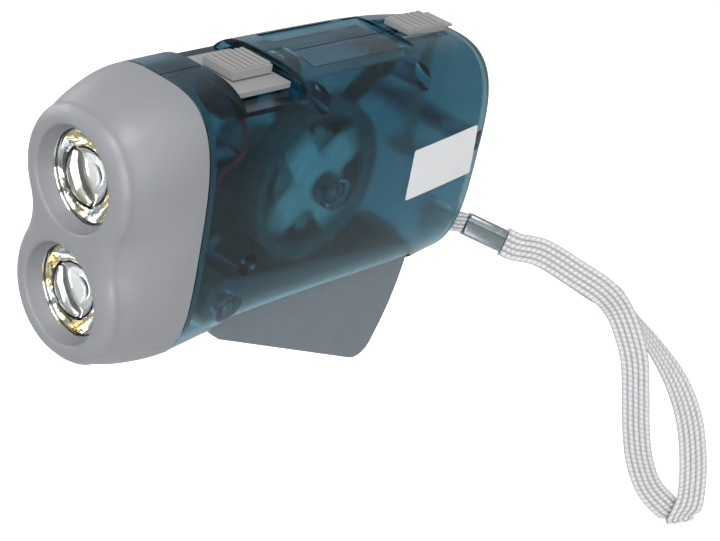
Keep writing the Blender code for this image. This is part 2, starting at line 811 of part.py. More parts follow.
LEVER_AXIS = axis_empty("lever_axis", *PIVOT)
DRIVE_AXIS = axis_empty("drive_axis", *DRIVE)
FLYWHEEL_AXIS = axis_empty("flywheel_axis", *FLYWHEEL)


# Teeth


def involute(angle):
    """The involute function of a pressure angle."""
    return math.tan(angle) - angle


def half_tooth(teeth, radius):
    """Half the angle that a tooth covers at a radius."""
    pitch_radius = MODULE * teeth / 2
    base = pitch_radius * math.cos(PRESSURE_ANGLE)
    at_pitch = math.pi / (2 * teeth) * (1 - BACKLASH_SHARE)
    if radius <= base:
        return at_pitch + involute(PRESSURE_ANGLE)
    return at_pitch + involute(PRESSURE_ANGLE) - involute(math.acos(base / radius))


def tooth(teeth, centre_angle):
    """The outline of one tooth, from its lower root to its upper root."""
    pitch_radius = MODULE * teeth / 2
    root = pitch_radius - MODULE * DEDENDUM_SHARE
    tip = pitch_radius + MODULE * ADDENDUM_SHARE
    heights = (root, pitch_radius, tip)
    lower = [polar(ORIGIN, r, centre_angle - half_tooth(teeth, r)) for r in heights]
    upper = [polar(ORIGIN, r, centre_angle + half_tooth(teeth, r)) for r in reversed(heights)]
    return lower + upper


def gear_outline(teeth, first_angle):
    """A whole gear's outline round its own centre, with a tooth at the first angle."""
    points = []
    for i in range(teeth):
        points += tooth(teeth, first_angle + math.tau * i / teeth)
    return points


def at(centre):
    """The world place of an axis that is given in the XZ plane."""
    return (centre[0], 0, centre[1])


def swung(points):
    """An outline drawn in the lever's own frame, turned to the open place."""
    cos, sin = math.cos(LEVER_OPEN), math.sin(LEVER_OPEN)
    return [(u * cos + v * sin, v * cos - u * sin) for u, v in points]


# Lamp head


def face_outline():
    """The right half of the face, from its top to its bottom, as (y, z, hollow)."""
    half = LOBE_SPACING / 2
    lean = LOBE_RADIUS - WAIST_HALF_WIDTH
    waist_radius = (WAIST_HALF_WIDTH**2 + half**2 - LOBE_RADIUS**2) / (2 * lean)
    join = math.atan2(half, WAIST_HALF_WIDTH + waist_radius)
    lobe = arc((0, half), LOBE_RADIUS, math.pi / 2, -join, LOBE_STEPS)
    centre = (WAIST_HALF_WIDTH + waist_radius, 0)
    waist = arc(centre, waist_radius, math.pi - join, math.pi, WAIST_STEPS)
    upper = lobe + waist[1:]
    side = [(y, z, 0.0 if z >= half else LOBE_RADIUS - y) for y, z in upper]
    return side + [(y, 0.0 - z, hollow) for y, z, hollow in reversed(side[:-1])]


def head_ring(share, inset=0.0, x=None):
    """A ring of the head, between the double-lobed face and the housing's section."""
    width, rise, drop = body_size(SEAM_X)
    top = LOBE_SPACING / 2 + LOBE_RADIUS
    grown = math.sin(math.pi / 2 * share) ** HEAD_GROWTH_SHARE
    kept = (1 - share) ** HEAD_HOLLOW_SHARE
    half_ring = []
    for y, z, hollow in face_outline():
        level = z / top
        seam_z = BODY_MID_Z + level * (rise if level >= 0 else drop)
        seam_y = width * (1 - abs(level) ** BODY_SQUARENESS_SHARE) ** (1 / BODY_SQUARENESS_SHARE)
        full_y = y + hollow
        side_y = full_y + (seam_y - full_y) * grown - hollow * kept
        half_ring.append((side_y, z + (seam_z - z) * grown))
    half_ring[0] = (0.0, half_ring[0][1])
    half_ring[-1] = (0.0, half_ring[-1][1])
    flat = half_ring + [(0.0 - y, z) for y, z in reversed(half_ring[1:-1])]
    place = FACE_X + share * HEAD_DEPTH if x is None else x
    return [(place, y, z) for y, z in drawn_in(flat, inset)]


def drawn_in(outline, inset):
    """An outline moved inwards by an even distance. It runs clockwise."""
    count = len(outline)
    points = []
    for i in range(count):
        before, after = Vector(outline[i - 1]), Vector(outline[(i + 1) % count])
        along = (after - before).normalized()
        inwards = Vector((along.y, 0.0 - along.x))
        points.append(tuple(Vector(outline[i]) + inwards * inset))
    return points


def make_head():
    """The grey lamp head: a lofted shell with two lamp wells and a skirt."""
    rings = []
    for share in HEAD_STATION_SHARES:
        depth = share * HEAD_DEPTH
        rounding = min(depth / HEAD_EDGE_ROUND, 1.0) - 1.0
        inset = HEAD_EDGE_ROUND * (1 - math.sqrt(1 - rounding**2))
        rings.append(head_ring(share, inset))
    skirt = WALL + GAP
    rings.append(head_ring(1.0, skirt))
    rings.append(head_ring(1.0, skirt, SEAM_X + HEAD_SKIRT))
    head = add_piece("head_shell", loft("head_shell", rings), GREY_SHELL)
    inner = skirt + SKIRT_WALL
    narrow_x = SEAM_X - HEAD_CAVITY_TAPER
    cavity = [
        head_ring(HEAD_FRONT_WALL / HEAD_DEPTH, HEAD_WALL),
        head_ring((narrow_x - HEAD_CAVITY_TAPER - FACE_X) / HEAD_DEPTH, HEAD_WALL),
        head_ring((narrow_x - FACE_X) / HEAD_DEPTH, inner),
        head_ring(1.0, inner),
        head_ring(1.0, inner, SEAM_X + HEAD_SKIRT + OVERRUN),
    ]
    boolean(head, add_cutter("head_cavity", loft("head_cavity", cavity)))
    slope = (RECESS_RADIUS - APERTURE_RADIUS) / RECESS_DEPTH
    lip_x = FACE_X + RECESS_DEPTH
    for level in (LOBE_SPACING / 2, 0.0 - LOBE_SPACING / 2):
        mouth = RECESS_RADIUS + slope * OVERRUN
        cone = barrel("well", APERTURE_RADIUS, FACE_X - OVERRUN, lip_x + HALF_GAP, level, WELL_SIDES, mouth)
        boolean(head, add_cutter("well", cone))
        bore = barrel("seat", SEAT_RADIUS, lip_x, FACE_X + HEAD_FRONT_WALL + OVERRUN, level, WELL_SIDES)
        boolean(head, add_cutter("seat", bore))


def barrel(name, radius, low_x, high_x, level, sides, mouth=None):
    """A cylinder, or a cone that is wider at its front, that runs along X at Y = 0."""
    place = Matrix.Translation(((low_x + high_x) / 2, 0, level)) @ Matrix.Rotation(math.pi / 2, 4, "Y")
    shape = bmesh.new()
    bmesh.ops.create_cone(
        shape,
        cap_ends=True,
        segments=sides,
        radius1=radius if mouth is None else mouth,
        radius2=radius,
        depth=high_x - low_x,
        matrix=place,
    )
    return to_mesh(name, shape)


def make_lamp(name, level):
    """One lamp: clear window, turned reflector and LED, on their common axis."""
    facing = (0, 0.0 - math.pi / 2, 0)
    window = [(0, WINDOW_THICKNESS), (WINDOW_RADIUS, WINDOW_THICKNESS), (WINDOW_RADIUS, 0), (0, 0)]
    turned(f"lens_{name}", window, CLEAR, (WINDOW_X + WINDOW_THICKNESS, 0, level), facing)
    mouth = APERTURE_RADIUS - HALF_GAP
    inner, outer = [], []
    for share in DISH_SHARES:
        depth = share * REFLECTOR_DEPTH
        radius = math.sqrt(REFLECTOR_NECK**2 + (mouth**2 - REFLECTOR_NECK**2) * share)
        inner.append((radius, depth))
        outer.append((radius + REFLECTOR_WALL, depth))
    flange = [
        (inner[-1][0], REFLECTOR_DEPTH),
        (WINDOW_RADIUS, REFLECTOR_DEPTH),
        (WINDOW_RADIUS, REFLECTOR_DEPTH - REFLECTOR_FLANGE),
    ]
    under = [point for point in reversed(outer) if point[1] < REFLECTOR_DEPTH - REFLECTOR_FLANGE]
    dish = flange + under + inner[:-1]
    back = (REFLECTOR_X + REFLECTOR_DEPTH, 0, level)
    turned(f"reflector_{name}", dish, CHROME, back, facing, closed=True)
    straight = LED_LENGTH - LED_RADIUS
    dome = [(LED_RADIUS * math.sin(a), straight + LED_RADIUS * math.cos(a)) for a in LED_ANGLES]
    led = dome + [(LED_RADIUS, 0), (LED_FLANGE_RADIUS, 0), (LED_FLANGE_RADIUS, 0.0 - LED_FLANGE)]
    led.append((0, 0.0 - LED_FLANGE))
    turned(f"led_{name}", led, LED_CLEAR, (LED_FLANGE_X, 0, level), facing, steps=LED_TURN_STEPS)


def make_lamps():
    """Both lamps and the board that carries their LEDs."""
    make_lamp("upper", LOBE_SPACING / 2)
    make_lamp("lower", 0.0 - LOBE_SPACING / 2)
    low = (LED_BOARD_X, 0.0 - LED_BOARD_HALF_WIDTH, 0.0 - LED_BOARD_HALF_HEIGHT)
    high = (LED_BOARD_X + BOARD_THICKNESS, LED_BOARD_HALF_WIDTH, LED_BOARD_HALF_HEIGHT)
    board = add_piece("led_board", block("led_board", low, high), GREEN_BOARD)
    bevel(board, CORNER_ROUND / 4)


# Housing


def around(centre, radius):
    """Places round a circle in the XZ plane."""
    return circle(centre, radius, BOSS_SIDES)


def face_y(centre, radius):
    """The least half width of the housing's skin round a boss."""
    return min(body_half_width(x, z) for x, z in around(centre, radius))


def closed_body(name, inset):
    """The housing's outer form as a solid, drawn in by an inset."""
    return loft(name, body_rings(inset))


def body_rings(inset=0.0):
    """The housing's rings from the seam to the middle of the rear dome."""
    dome_x = REAR_X - REAR_DOME
    start_x = SEAM_X + GAP
    stations = [start_x + share[0] * (dome_x - start_x) for share in HOUSING_SHARES]
    rings = [body_ring(x, inset) for x in stations]
    depth = REAR_DOME - inset
    for angle in DOME_ANGLES[1:]:
        scale = math.cos(angle) ** DOME_POWER_SHARE
        rings.append(body_ring(dome_x + depth * math.sin(angle), inset, dome_x, scale))
    return rings


def shared_cutters():
    """Helper solids that both halves of the housing use."""
    wide = BODY_HALF_WIDTH + OVERRUN
    high = BODY_RISE + OVERRUN
    core = add_cutter("core", closed_body("core", WALL / 2))
    cap_low = (NOTCH_X - WALL, 0.0 - wide, NOTCH_FLOOR_Z - NOTCH_FLOOR)
    cap = add_cutter("cap_block", block("cap_block", cap_low, (HUMP_X + WALL, wide, high)))
    roof_low = (HUMP_X + WALL + GAP, 0.0 - wide, ROOF_UNDERSIDE_Z)
    roof = add_cutter("roof_block", block("roof_block", roof_low, (ROOF_END_X, wide, high)))
    boolean(cap, core, "INTERSECT")
    boolean(roof, core, "INTERSECT")
    notch = block("notch", (NOTCH_X, 0.0 - wide, NOTCH_FLOOR_Z), (HUMP_X, wide, high))
    panel_low = (PANEL_X, 0.0 - PANEL_HALF_WIDTH, PANEL_FLOOR_Z)
    panel = add_cutter("panel", block("panel", panel_low, (PANEL_END_X, PANEL_HALF_WIDTH, high)))
    bevel(panel, CORNER_ROUND / 2)
    track_low = (TRACK_X, 0.0 - TRACK_HALF_WIDTH, TRACK_FLOOR_Z)
    track = block("track", track_low, (TRACK_END_X, TRACK_HALF_WIDTH, high))
    slot = [shift((x, z), FACE_X) for x, z in SLOT_OUTLINE]
    switch_low = (STEM_SLOT_X, 0.0 - PLATE_SLOT_HALF_WIDTH, NOTCH_FLOOR_Z - OVERRUN)
    switch_high = (STEM_SLOT_X + PLATE_SLOT_LENGTH, PLATE_SLOT_HALF_WIDTH, high)
    neck_room = LOCK_NECK_HALF_WIDTH + GAP
    neck_low = (LOCK_NECK_X - LOCK_TRAVEL - GAP, 0.0 - neck_room, ROOF_UNDERSIDE_Z - OVERRUN)
    neck_high = (LOCK_NECK_X + LOCK_NECK_LENGTH + GAP, neck_room, high)
    heel_low = (REAR_X - HEEL_ROOM_FROM_REAR, 0.0 - LEVER_ROOM, HEEL_ROOM_LOW_Z)
    heel_high = (PIVOT[0] + LEVER_REACH + GAP, LEVER_ROOM, HEEL_ROOM_HIGH_Z)
    ear_room = rod("lever_room", LEVER_EAR + GAP, 0.0 - LEVER_ROOM, LEVER_ROOM, PIVOT, EAR_ROOM_SIDES)
    cutters = [
        add_cutter("notch", notch),
        add_cutter("heel_room", block("heel_room", heel_low, heel_high)),
        panel,
        add_cutter("track", track),
        add_cutter("lever_opening", plate("lever_opening", [slot], 0.0 - wide, wide)),
        add_cutter("lever_room", ear_room),
        add_cutter("switch_slot", block("switch_slot", switch_low, switch_high)),
        add_cutter("neck_slot", block("neck_slot", neck_low, neck_high)),
    ]
    return core, cap, roof, cutters


def boss_rods(side):
    """The round bosses of one half, before the core trims them to the wall."""
    wide = BODY_HALF_WIDTH + OVERRUN
    screw_radius = SCREW_BOSS if side < 0 else SCREW_HEAD_BOSS
    ends = [(place, screw_radius, 0.0) for place in SCREWS]
    ends.append((PIVOT, LEVER_PIN_BOSS, LEVER_HALF_WIDTH))
    flywheel_end = FLYWHEEL_BOSS_NEAR_END if side < 0 else FLYWHEEL_BOSS_FAR_END
    ends.append((FLYWHEEL, FLYWHEEL_BOSS, flywheel_end))
    if side > 0:
        ends.append((DRIVE, DRIVE_BOSS, DRIVE_BOSS_END))
    meshes = []
    for centre, radius, end in ends:
        low, high = sorted((side * wide, side * end))
        meshes.append(rod("boss", radius, low, high, centre, BOSS_SIDES))
    return joined("bosses", meshes)


def stepped_rod(name, steps, centre, sides):
    """A rod along Y whose radius changes at each (y, radius) step."""
    rings = []
    for y, radius in steps:
        rings.append([(x, y, z) for x, z in circle(centre, radius, sides)])
    return loft(name, rings)


def boss_holes(side):
    """The holes in one half's bosses, none of which meet."""
    wide = BODY_HALF_WIDTH + OVERRUN
    meshes = []
    for place in SCREWS:
        hole = SCREW_RADIUS + GAP
        if side < 0:
            meshes.append(rod("hole", hole, 0.0 - SCREW_GRIP - GAP, OVERRUN, place, HOLE_SIDES))
            continue
        seat = screw_seat(place)
        recess = SCREW_HEAD + GAP
        steps = [(0.0 - OVERRUN, hole), (seat, hole), (seat, recess), (wide, recess)]
        meshes.append(stepped_rod("hole", steps, place, HOLE_SIDES))
    low, high = sorted((0.0, side * (LEVER_PIN_END + GAP)))
    meshes.append(rod("hole", PIN_SEAT, low, high, PIVOT, HOLE_SIDES))
    end = FLYWHEEL_BOSS_NEAR_END if side < 0 else FLYWHEEL_BOSS_FAR_END
    low, high = sorted((side * (end - OVERRUN), side * (end + BUSH_LENGTH + GAP)))
    meshes.append(rod("hole", BUSH_RADIUS + GAP, low, high, FLYWHEEL, HOLE_SIDES))
    if side > 0:
        start = DRIVE_BOSS_END - OVERRUN
        meshes.append(rod("hole", AXLE_RADIUS + GAP, start, AXLE_FAR_Y + GAP, DRIVE, HOLE_SIDES))
    return meshes


def screw_seat(place):
    """Where the underside of a screw's head sits, with its clearance."""
    return face_y(place, SCREW_HEAD + GAP) - SCREW_SINK - SCREW_HEAD_DEPTH - GAP


def make_housing_half(name, side, core, cap, roof, cutters):
    """One clear half of the housing, with its half of every boss and opening."""
    shell = add_piece(name, loft(name, body_rings(), cap_start=False), CLEAR_SHELL)
    skin = shell.modifiers.new("wall", "SOLIDIFY")
    skin.thickness = WALL
    skin.offset = -1
    skin.use_even_offset = True
    boolean(shell, cap, "UNION")
    boolean(shell, roof, "UNION")
    bosses = add_cutter(f"{name}_bosses", boss_rods(side))
    boolean(bosses, core, "INTERSECT")
    boolean(shell, bosses, "UNION")
    if side < 0:
        boolean(shell, anchor_lugs(core), "UNION")
    wide = BODY_HALF_WIDTH + OVERRUN
    low_y, high_y = sorted((side * HALF_GAP, side * wide))
    low = (SEAM_X - OVERRUN, low_y, 0.0 - BODY_DROP - LEVER_DROP)
    space = block("half_space", low, (REAR_X + OVERRUN, high_y, BODY_RISE + OVERRUN))
    boolean(shell, add_cutter(f"{name}_space", space), "INTERSECT")
    for cutter in cutters:
        boolean(shell, cutter)
    holes = add_cutter(f"{name}_holes", joined("holes", boss_holes(side)))
    boolean(shell, holes)
    if side < 0:
        boolean(shell, strap_slot())
        boolean(shell, anchor_holes())


def anchor_lugs(core):
    """Two lugs in the rear of the near half that hold the strap's pin."""
    meshes = []
    for way in (-1, 1):
        low_z, high_z = sorted((way * LUG_HALF_SPAN, way * (LUG_HALF_SPAN + LUG)))
        low = (ANCHOR[0] - LUG_INSET, ANCHOR_Y - LUG_HALF_WIDTH, ANCHOR_Z + low_z)
        high = (REAR_X + OVERRUN, ANCHOR_Y + LUG_HALF_WIDTH, ANCHOR_Z + high_z)
        meshes.append(block("lug", low, high))
    lugs = add_cutter("anchor_lugs", joined("anchor_lugs", meshes))
    boolean(lugs, core, "INTERSECT")
    return lugs


def anchor_holes():
    """The hole of the strap's pin in both lugs."""
    shape = bmesh.new()
    reach = ANCHOR_HALF_HEIGHT + GAP
    bmesh.ops.create_cone(
        shape,
        cap_ends=True,
        segments=HOLE_SIDES,
        radius1=ANCHOR_RADIUS + GAP,
        radius2=ANCHOR_RADIUS + GAP,
        depth=2 * reach,
        matrix=Matrix.Translation(ANCHOR),
    )
    return add_cutter("anchor_holes", to_mesh("anchor_holes", shape))


def strap_slot():
    """The slot through the rear wall, in line with the strap's neck."""
    way = Vector(FERRULE_START) - Vector(ANCHOR)
    heading = math.atan2(way.y, way.x)
    place = Matrix.Translation(ANCHOR) @ Matrix.Rotation(heading, 4, "Z")
    half_height = LUG_HALF_SPAN - GAP
    length = way.length + OVERRUN
    size = Matrix.Diagonal((length, 2 * STRAP_SLOT_HALF_WIDTH, 2 * half_height, 1))
    shape = bmesh.new()
    middle = Matrix.Translation((length / 2, 0, 0))
    bmesh.ops.create_cube(shape, size=1.0, matrix=place @ middle @ size)
    return add_cutter("strap_slot", to_mesh("strap_slot", shape))


# Switch and lock on the crown


def make_switch():
    """Switch plate, sliding knob and switch block."""
    low_z = NOTCH_FLOOR_Z + GAP
    low = (NOTCH_X + GAP, 0.0 - PLATE_HALF_WIDTH, low_z)
    high = (HUMP_X - GAP, PLATE_HALF_WIDTH, low_z + PLATE_THICKNESS)
    cover = add_piece("switch_plate", block("switch_plate", low, high), GREY_TRIM)
    openings = [
        block(
            "slot",
            (STEM_SLOT_X, 0.0 - PLATE_SLOT_HALF_WIDTH, low_z - OVERRUN),
            (STEM_SLOT_X + PLATE_SLOT_LENGTH, PLATE_SLOT_HALF_WIDTH, low_z + OVERRUN),
        )
    ]
    vent_x = KNOB_X - PLATE_VENT_SETBACK
    for i in (-1, 0, 1):
        y = i * PLATE_VENT_PITCH
        corner = (vent_x, y - PLATE_VENT_HALF_WIDTH, low_z - OVERRUN)
        far = (vent_x + PLATE_VENT_LENGTH, y + PLATE_VENT_HALF_WIDTH, low_z + OVERRUN)
        openings.append(block("vent", corner, far))
    boolean(cover, add_cutter("plate_openings", joined("plate_openings", openings)))
    base_z = low_z + PLATE_THICKNESS + GAP
    body_top = base_z + KNOB_HEIGHT - KNOB_RIB
    knob_low = (KNOB_X, 0.0 - KNOB_HALF_WIDTH, base_z)
    knob_high = (KNOB_X + KNOB_LENGTH, KNOB_HALF_WIDTH, body_top)
    knob = add_piece("switch_knob", block("switch_knob", knob_low, knob_high), GREY_TRIM)
    ribs = rib_row("knob_ribs", KNOB_X, KNOB_LENGTH, KNOB_HALF_WIDTH, body_top, KNOB_RIB, KNOB_RIBS)
    boolean(knob, ribs, "UNION")
    stem_low = (STEM_X, 0.0 - KNOB_STEM_HALF_WIDTH, NOTCH_FLOOR_Z - NOTCH_FLOOR - STEM_REACH)
    stem_high = (STEM_X + KNOB_STEM_LENGTH, KNOB_STEM_HALF_WIDTH, base_z + KNOB_RIB)
    boolean(knob, add_cutter("knob_stem", block("knob_stem", stem_low, stem_high)), "UNION")
    top_z = NOTCH_FLOOR_Z - NOTCH_FLOOR - GAP
    block_x = STEM_SLOT_X + PLATE_SLOT_LENGTH / 2 - SWITCH_BLOCK_LENGTH / 2
    low = (block_x, 0.0 - SWITCH_BLOCK_HALF_WIDTH, top_z - SWITCH_BLOCK_HEIGHT)
    high = (block_x + SWITCH_BLOCK_LENGTH, SWITCH_BLOCK_HALF_WIDTH, top_z)
    switch = add_piece("switch_block", block("switch_block", low, high), BLACK)
    trough_low = (STEM_SLOT_X, 0.0 - PLATE_SLOT_HALF_WIDTH, top_z - STEM_REACH)
    trough_high = (STEM_SLOT_X + PLATE_SLOT_LENGTH, PLATE_SLOT_HALF_WIDTH, top_z + OVERRUN)
    boolean(switch, add_cutter("switch_trough", block("switch_trough", trough_low, trough_high)))
    bevel(switch, CORNER_ROUND / 4)


def rib_row(name, start, length, half_width, base_z, height, count):
    """A row of lateral finger ribs that stand on a knob, sunk a little into it."""
    pitch = length / count
    meshes = []
    for i in range(count):
        low_x = start + pitch * (i + RIB_START_SHARE)
        low = (low_x, 0.0 - half_width + height, base_z - height)
        high = (low_x + pitch * RIB_WIDTH_SHARE, half_width - height, base_z + height)
        meshes.append(block("rib", low, high))
    return add_cutter(name, joined(name, meshes))


def make_lock():
    """The lock slider: ribbed knob, neck, strip under the roof, bar and hook."""
    base_z = TRACK_FLOOR_Z + GAP
    body_top = LOCK_KNOB_TOP_Z - LOCK_RIB
    low = (LOCK_KNOB_X, 0.0 - LOCK_KNOB_HALF_WIDTH, base_z)
    high = (LOCK_KNOB_X + LOCK_KNOB_LENGTH, LOCK_KNOB_HALF_WIDTH, body_top)
    lock = add_piece("lock_slider", block("lock_slider", low, high), GREY_TRIM)
    ribs = rib_row(
        "lock_ribs", LOCK_KNOB_X, LOCK_KNOB_LENGTH, LOCK_KNOB_HALF_WIDTH, body_top, LOCK_RIB, LOCK_RIBS
    )
    boolean(lock, ribs, "UNION")
    strip_low_z = LOCK_STRIP_TOP_Z - LOCK_STRIP
    bar_x = LOCK_KNOB_X + LOCK_BAR_SETBACK
    bar_end = bar_x + LOCK_BAR_LENGTH
    tail_end = LOCK_KNOB_X + LOCK_KNOB_LENGTH + LOCK_TAIL_LENGTH
    hook_low_z = LOCK_HOOK_TOP_Z - LOCK_HOOK_HEIGHT
    sunk_top = body_top - LOCK_RIB
    tail_half_width = LOCK_KNOB_HALF_WIDTH - LOCK_RIB
    neck_end = LOCK_NECK_X + LOCK_NECK_LENGTH
    strip_x = LOCK_NECK_X - LOCK_STRIP_LEAD
    bar_half_width = LOCK_BAR_HALF_WIDTH - MERGE
    hook_x = bar_x - LOCK_HOOK_REACH
    hook_end = bar_end - LOCK_RIB
    parts = [
        (LOCK_KNOB_X + LOCK_RIB, tail_end, tail_half_width, base_z + LOCK_RIB, sunk_top),
        (LOCK_NECK_X, neck_end, LOCK_NECK_HALF_WIDTH, strip_low_z + LOCK_RIB, sunk_top),
        (strip_x, bar_end, LOCK_BAR_HALF_WIDTH, strip_low_z, LOCK_STRIP_TOP_Z),
        (bar_x, bar_end - MERGE, bar_half_width, hook_low_z, LOCK_STRIP_TOP_Z - MERGE),
        (hook_x, hook_end, LOCK_HOOK_HALF_WIDTH, hook_low_z - MERGE, LOCK_HOOK_TOP_Z),
    ]
    for i, (low_x, high_x, half_width, low_z, high_z) in enumerate(parts):
        limb = block("limb", (low_x, 0.0 - half_width, low_z), (high_x, half_width, high_z))
        boolean(lock, add_cutter(f"lock_limb_{i}", limb), "UNION")


# Lever


def lever_outline():
    """The lever seen from its side, in its own frame."""
    corner = (LEVER_CORNER_U, LEVER_CORNER - LEVER_DROP)
    bottom = arc(corner, LEVER_CORNER, 0.0 - math.pi / 2, REAR_START, CORNER_STEPS)
    rear = arc(ORIGIN, LEVER_REACH, REAR_START, LEVER_SWEEP, LEVER_ARC_STEPS)
    ear = arc(ORIGIN, LEVER_EAR, EAR_START, EAR_END, EAR_STEPS)
    return bottom + rear[1:] + ear + [LEVER_TOE, (LEVER_SOLE_START, 0.0 - LEVER_DROP)]


def lever_room_outline():
    """The space inside the lever's channel, open at its top, in its own frame."""
    reach = LEVER_REACH - LEVER_WALL
    corner = (LEVER_CORNER_U, LEVER_CORNER - LEVER_DROP)
    bottom = arc(corner, LEVER_CORNER - LEVER_WALL, 0.0 - math.pi / 2, REAR_START, CORNER_STEPS)
    rear = arc(ORIGIN, reach, REAR_START, LEVER_SWEEP + OVERRUN / reach, LEVER_ARC_STEPS)
    above = (0.0, rear[-1][1])
    nose = arc(ORIGIN, LEVER_EAR - NOSE_WALL, NOSE_START, EAR_END, EAR_STEPS)
    toe = shift(LEVER_TOE, LEVER_WALL / 3, LEVER_WALL)
    return bottom + rear[1:] + [above] + nose + [toe, (LEVER_SOLE_START, LEVER_WALL - LEVER_DROP)]


def make_lever():
    """The squeeze lever: a channel with its catch lip and toothed rack arm."""
    outer = plate("lever", [swung(lever_outline())], 0.0 - LEVER_HALF_WIDTH, LEVER_HALF_WIDTH)
    lever = add_piece("lever", outer, LEVER_GREY, LEVER_AXIS, at(PIVOT))
    inner = LEVER_HALF_WIDTH - LEVER_WALL
    room = plate("lever_channel", [swung(lever_room_outline())], 0.0 - inner, inner)
    boolean(lever, add_cutter("lever_channel", room, at(PIVOT)))
    lip_end = LEVER_LIP_ANGLE + LEVER_LIP_HEIGHT / LEVER_REACH
    sunk = LEVER_REACH - LEVER_WALL / 2
    lip = arc(ORIGIN, sunk, LEVER_LIP_ANGLE, lip_end, 2)
    lip += arc(ORIGIN, LEVER_REACH + LEVER_LIP_REACH, lip_end, LEVER_LIP_ANGLE, 2)
    catch = plate("catch_lip", [swung(lip)], 0.0 - LEVER_LIP_HALF_WIDTH, LEVER_LIP_HALF_WIDTH)
    boolean(lever, add_cutter("catch_lip", catch, at(PIVOT)), "UNION")
    low_y = RACK_CENTRE_Y - RACK_FACE / 2
    rack = plate("rack_arm", [swung(rack_outline())], low_y, low_y + RACK_FACE)
    boolean(lever, add_cutter("rack_arm", rack, at(PIVOT)), "UNION")
    reach = LEVER_HALF_WIDTH + OVERRUN
    eye = rod("pin_eye", PIN_SEAT, 0.0 - reach, reach, sides=HOLE_SIDES)
    boolean(lever, add_cutter("pin_eye", eye, at(PIVOT)))
    pin = rod("lever_pin", PIN_RADIUS, 0.0 - LEVER_PIN_END, LEVER_PIN_END, PIVOT)
    bevel(add_piece("lever_pin", pin, STEEL), PIN_RADIUS / 6, 1)


def rack_outline():
    """The toothed sector that stands up from the lever's floor, in its own frame."""
    contact = TO_DRIVE + LEVER_OPEN
    first = contact - LEVER_STROKE - RACK_SPARE
    last = contact + RACK_SPARE
    pitch = math.tau / RACK_TEETH
    count = math.floor((last - first) / pitch)
    inner = MODULE * RACK_TEETH / 2 - RACK_BAND
    root = MODULE * RACK_TEETH / 2 - MODULE * DEDENDUM_SHARE
    phase = contact % pitch
    start = math.ceil((first - phase) / pitch) * pitch + phase
    points = arc(ORIGIN, root, RACK_FOOT, start - pitch / 2, RACK_FOOT_STEPS)
    for i in range(count):
        points += tooth(RACK_TEETH, start + pitch * i)
    end = start + pitch * (count - 1 / 2)
    points.append(polar(ORIGIN, root, end))
    points += arc(ORIGIN, inner, end, RACK_FOOT, RACK_BACK_STEPS)
    return points


def make_return_spring():
    """A torsion coil round the lever's pin."""
    low_y = SPRING_LOW_Y
    points = []
    for i in range(SPRING_TURNS * SPRING_STEPS + 1):
        angle = math.tau * i / SPRING_STEPS
        x, z = polar(ORIGIN, SPRING_RADIUS, angle)
        points.append((x, low_y + SPRING_LENGTH * i / (SPRING_TURNS * SPRING_STEPS), z))
    pitch = SPRING_LENGTH / SPRING_TURNS
    print("least gap between the spring's turns, mm:", round((pitch - 2 * SPRING_WIRE) * 1000, 3))
    coil = tube("return_spring", points, SPRING_WIRE, 1)
    add_piece("return_spring", coil, STEEL, None, at(PIVOT))


# Gear train


def make_gears():
    """Drive gear on its axle, and the free gear on the flywheel's shaft."""
    low_y = RACK_CENTRE_Y - RACK_FACE / 2
    tooth_gap = math.pi / PINION_TEETH
    pinion = gear_outline(PINION_TEETH, TO_DRIVE + math.pi + tooth_gap)
    wheel_low = GEAR_CENTRE_Y - GEAR_FACE / 2
    body = plate("drive_gear", [pinion], low_y, wheel_low + GAP)
    gear = add_piece("drive_gear", body, NYLON, DRIVE_AXIS, at(DRIVE))
    wheel = plate("wheel", [gear_outline(WHEEL_TEETH, TO_RATCHET)], wheel_low, wheel_low + GEAR_FACE)
    boolean(gear, add_cutter("wheel", wheel, at(DRIVE)), "UNION")
    rim = MODULE * WHEEL_TEETH / 2 - GEAR_RIM
    web_y = GEAR_CENTRE_Y + GEAR_WEB / 2
    hub = PINION_TEETH * MODULE / 2 + MODULE
    pocket = pocket_ring("wheel_pocket", rim, hub, web_y, wheel_low + GEAR_FACE + OVERRUN)
    boolean(gear, add_cutter("wheel_pocket", pocket, at(DRIVE)))
    bore = rod("drive_bore", AXLE_RADIUS + GAP, 0.0 - GEAR_REACH, GEAR_REACH, sides=HOLE_SIDES)
    boolean(gear, add_cutter("drive_bore", bore, at(DRIVE)))
    axle = rod("drive_axle", AXLE_RADIUS, FRAME_Y, AXLE_FAR_Y, DRIVE, HOLE_SIDES)
    add_piece("drive_axle", axle, STEEL)
    first = TO_RATCHET + math.pi + math.pi / RATCHET_PINION_TEETH
    teeth = gear_outline(RATCHET_PINION_TEETH, first)
    small = plate("ratchet_gear", [teeth], wheel_low, wheel_low + GEAR_FACE)
    ratchet = add_piece("ratchet_gear", small, NYLON, FLYWHEEL_AXIS, at(FLYWHEEL))
    disc_low = wheel_low + GEAR_FACE - MERGE
    disc = plate("ratchet_disc", [saw_outline()], disc_low, RATCHET_TOP_Y)
    boolean(ratchet, add_cutter("ratchet_disc", disc, at(FLYWHEEL)), "UNION")
    bore = rod("ratchet_bore", SHAFT_RADIUS + GAP, 0.0 - GEAR_REACH, GEAR_REACH, sides=HOLE_SIDES)
    boolean(ratchet, add_cutter("ratchet_bore", bore, at(FLYWHEEL)))


def pocket_ring(name, outer, inner, low_y, high_y):
    """A ring that runs along Y, for a pocket between a rim and a hub."""
    outlines = [circle(ORIGIN, radius, POCKET_SIDES) for radius in (outer, inner)]
    return plate(name, outlines, low_y, high_y)


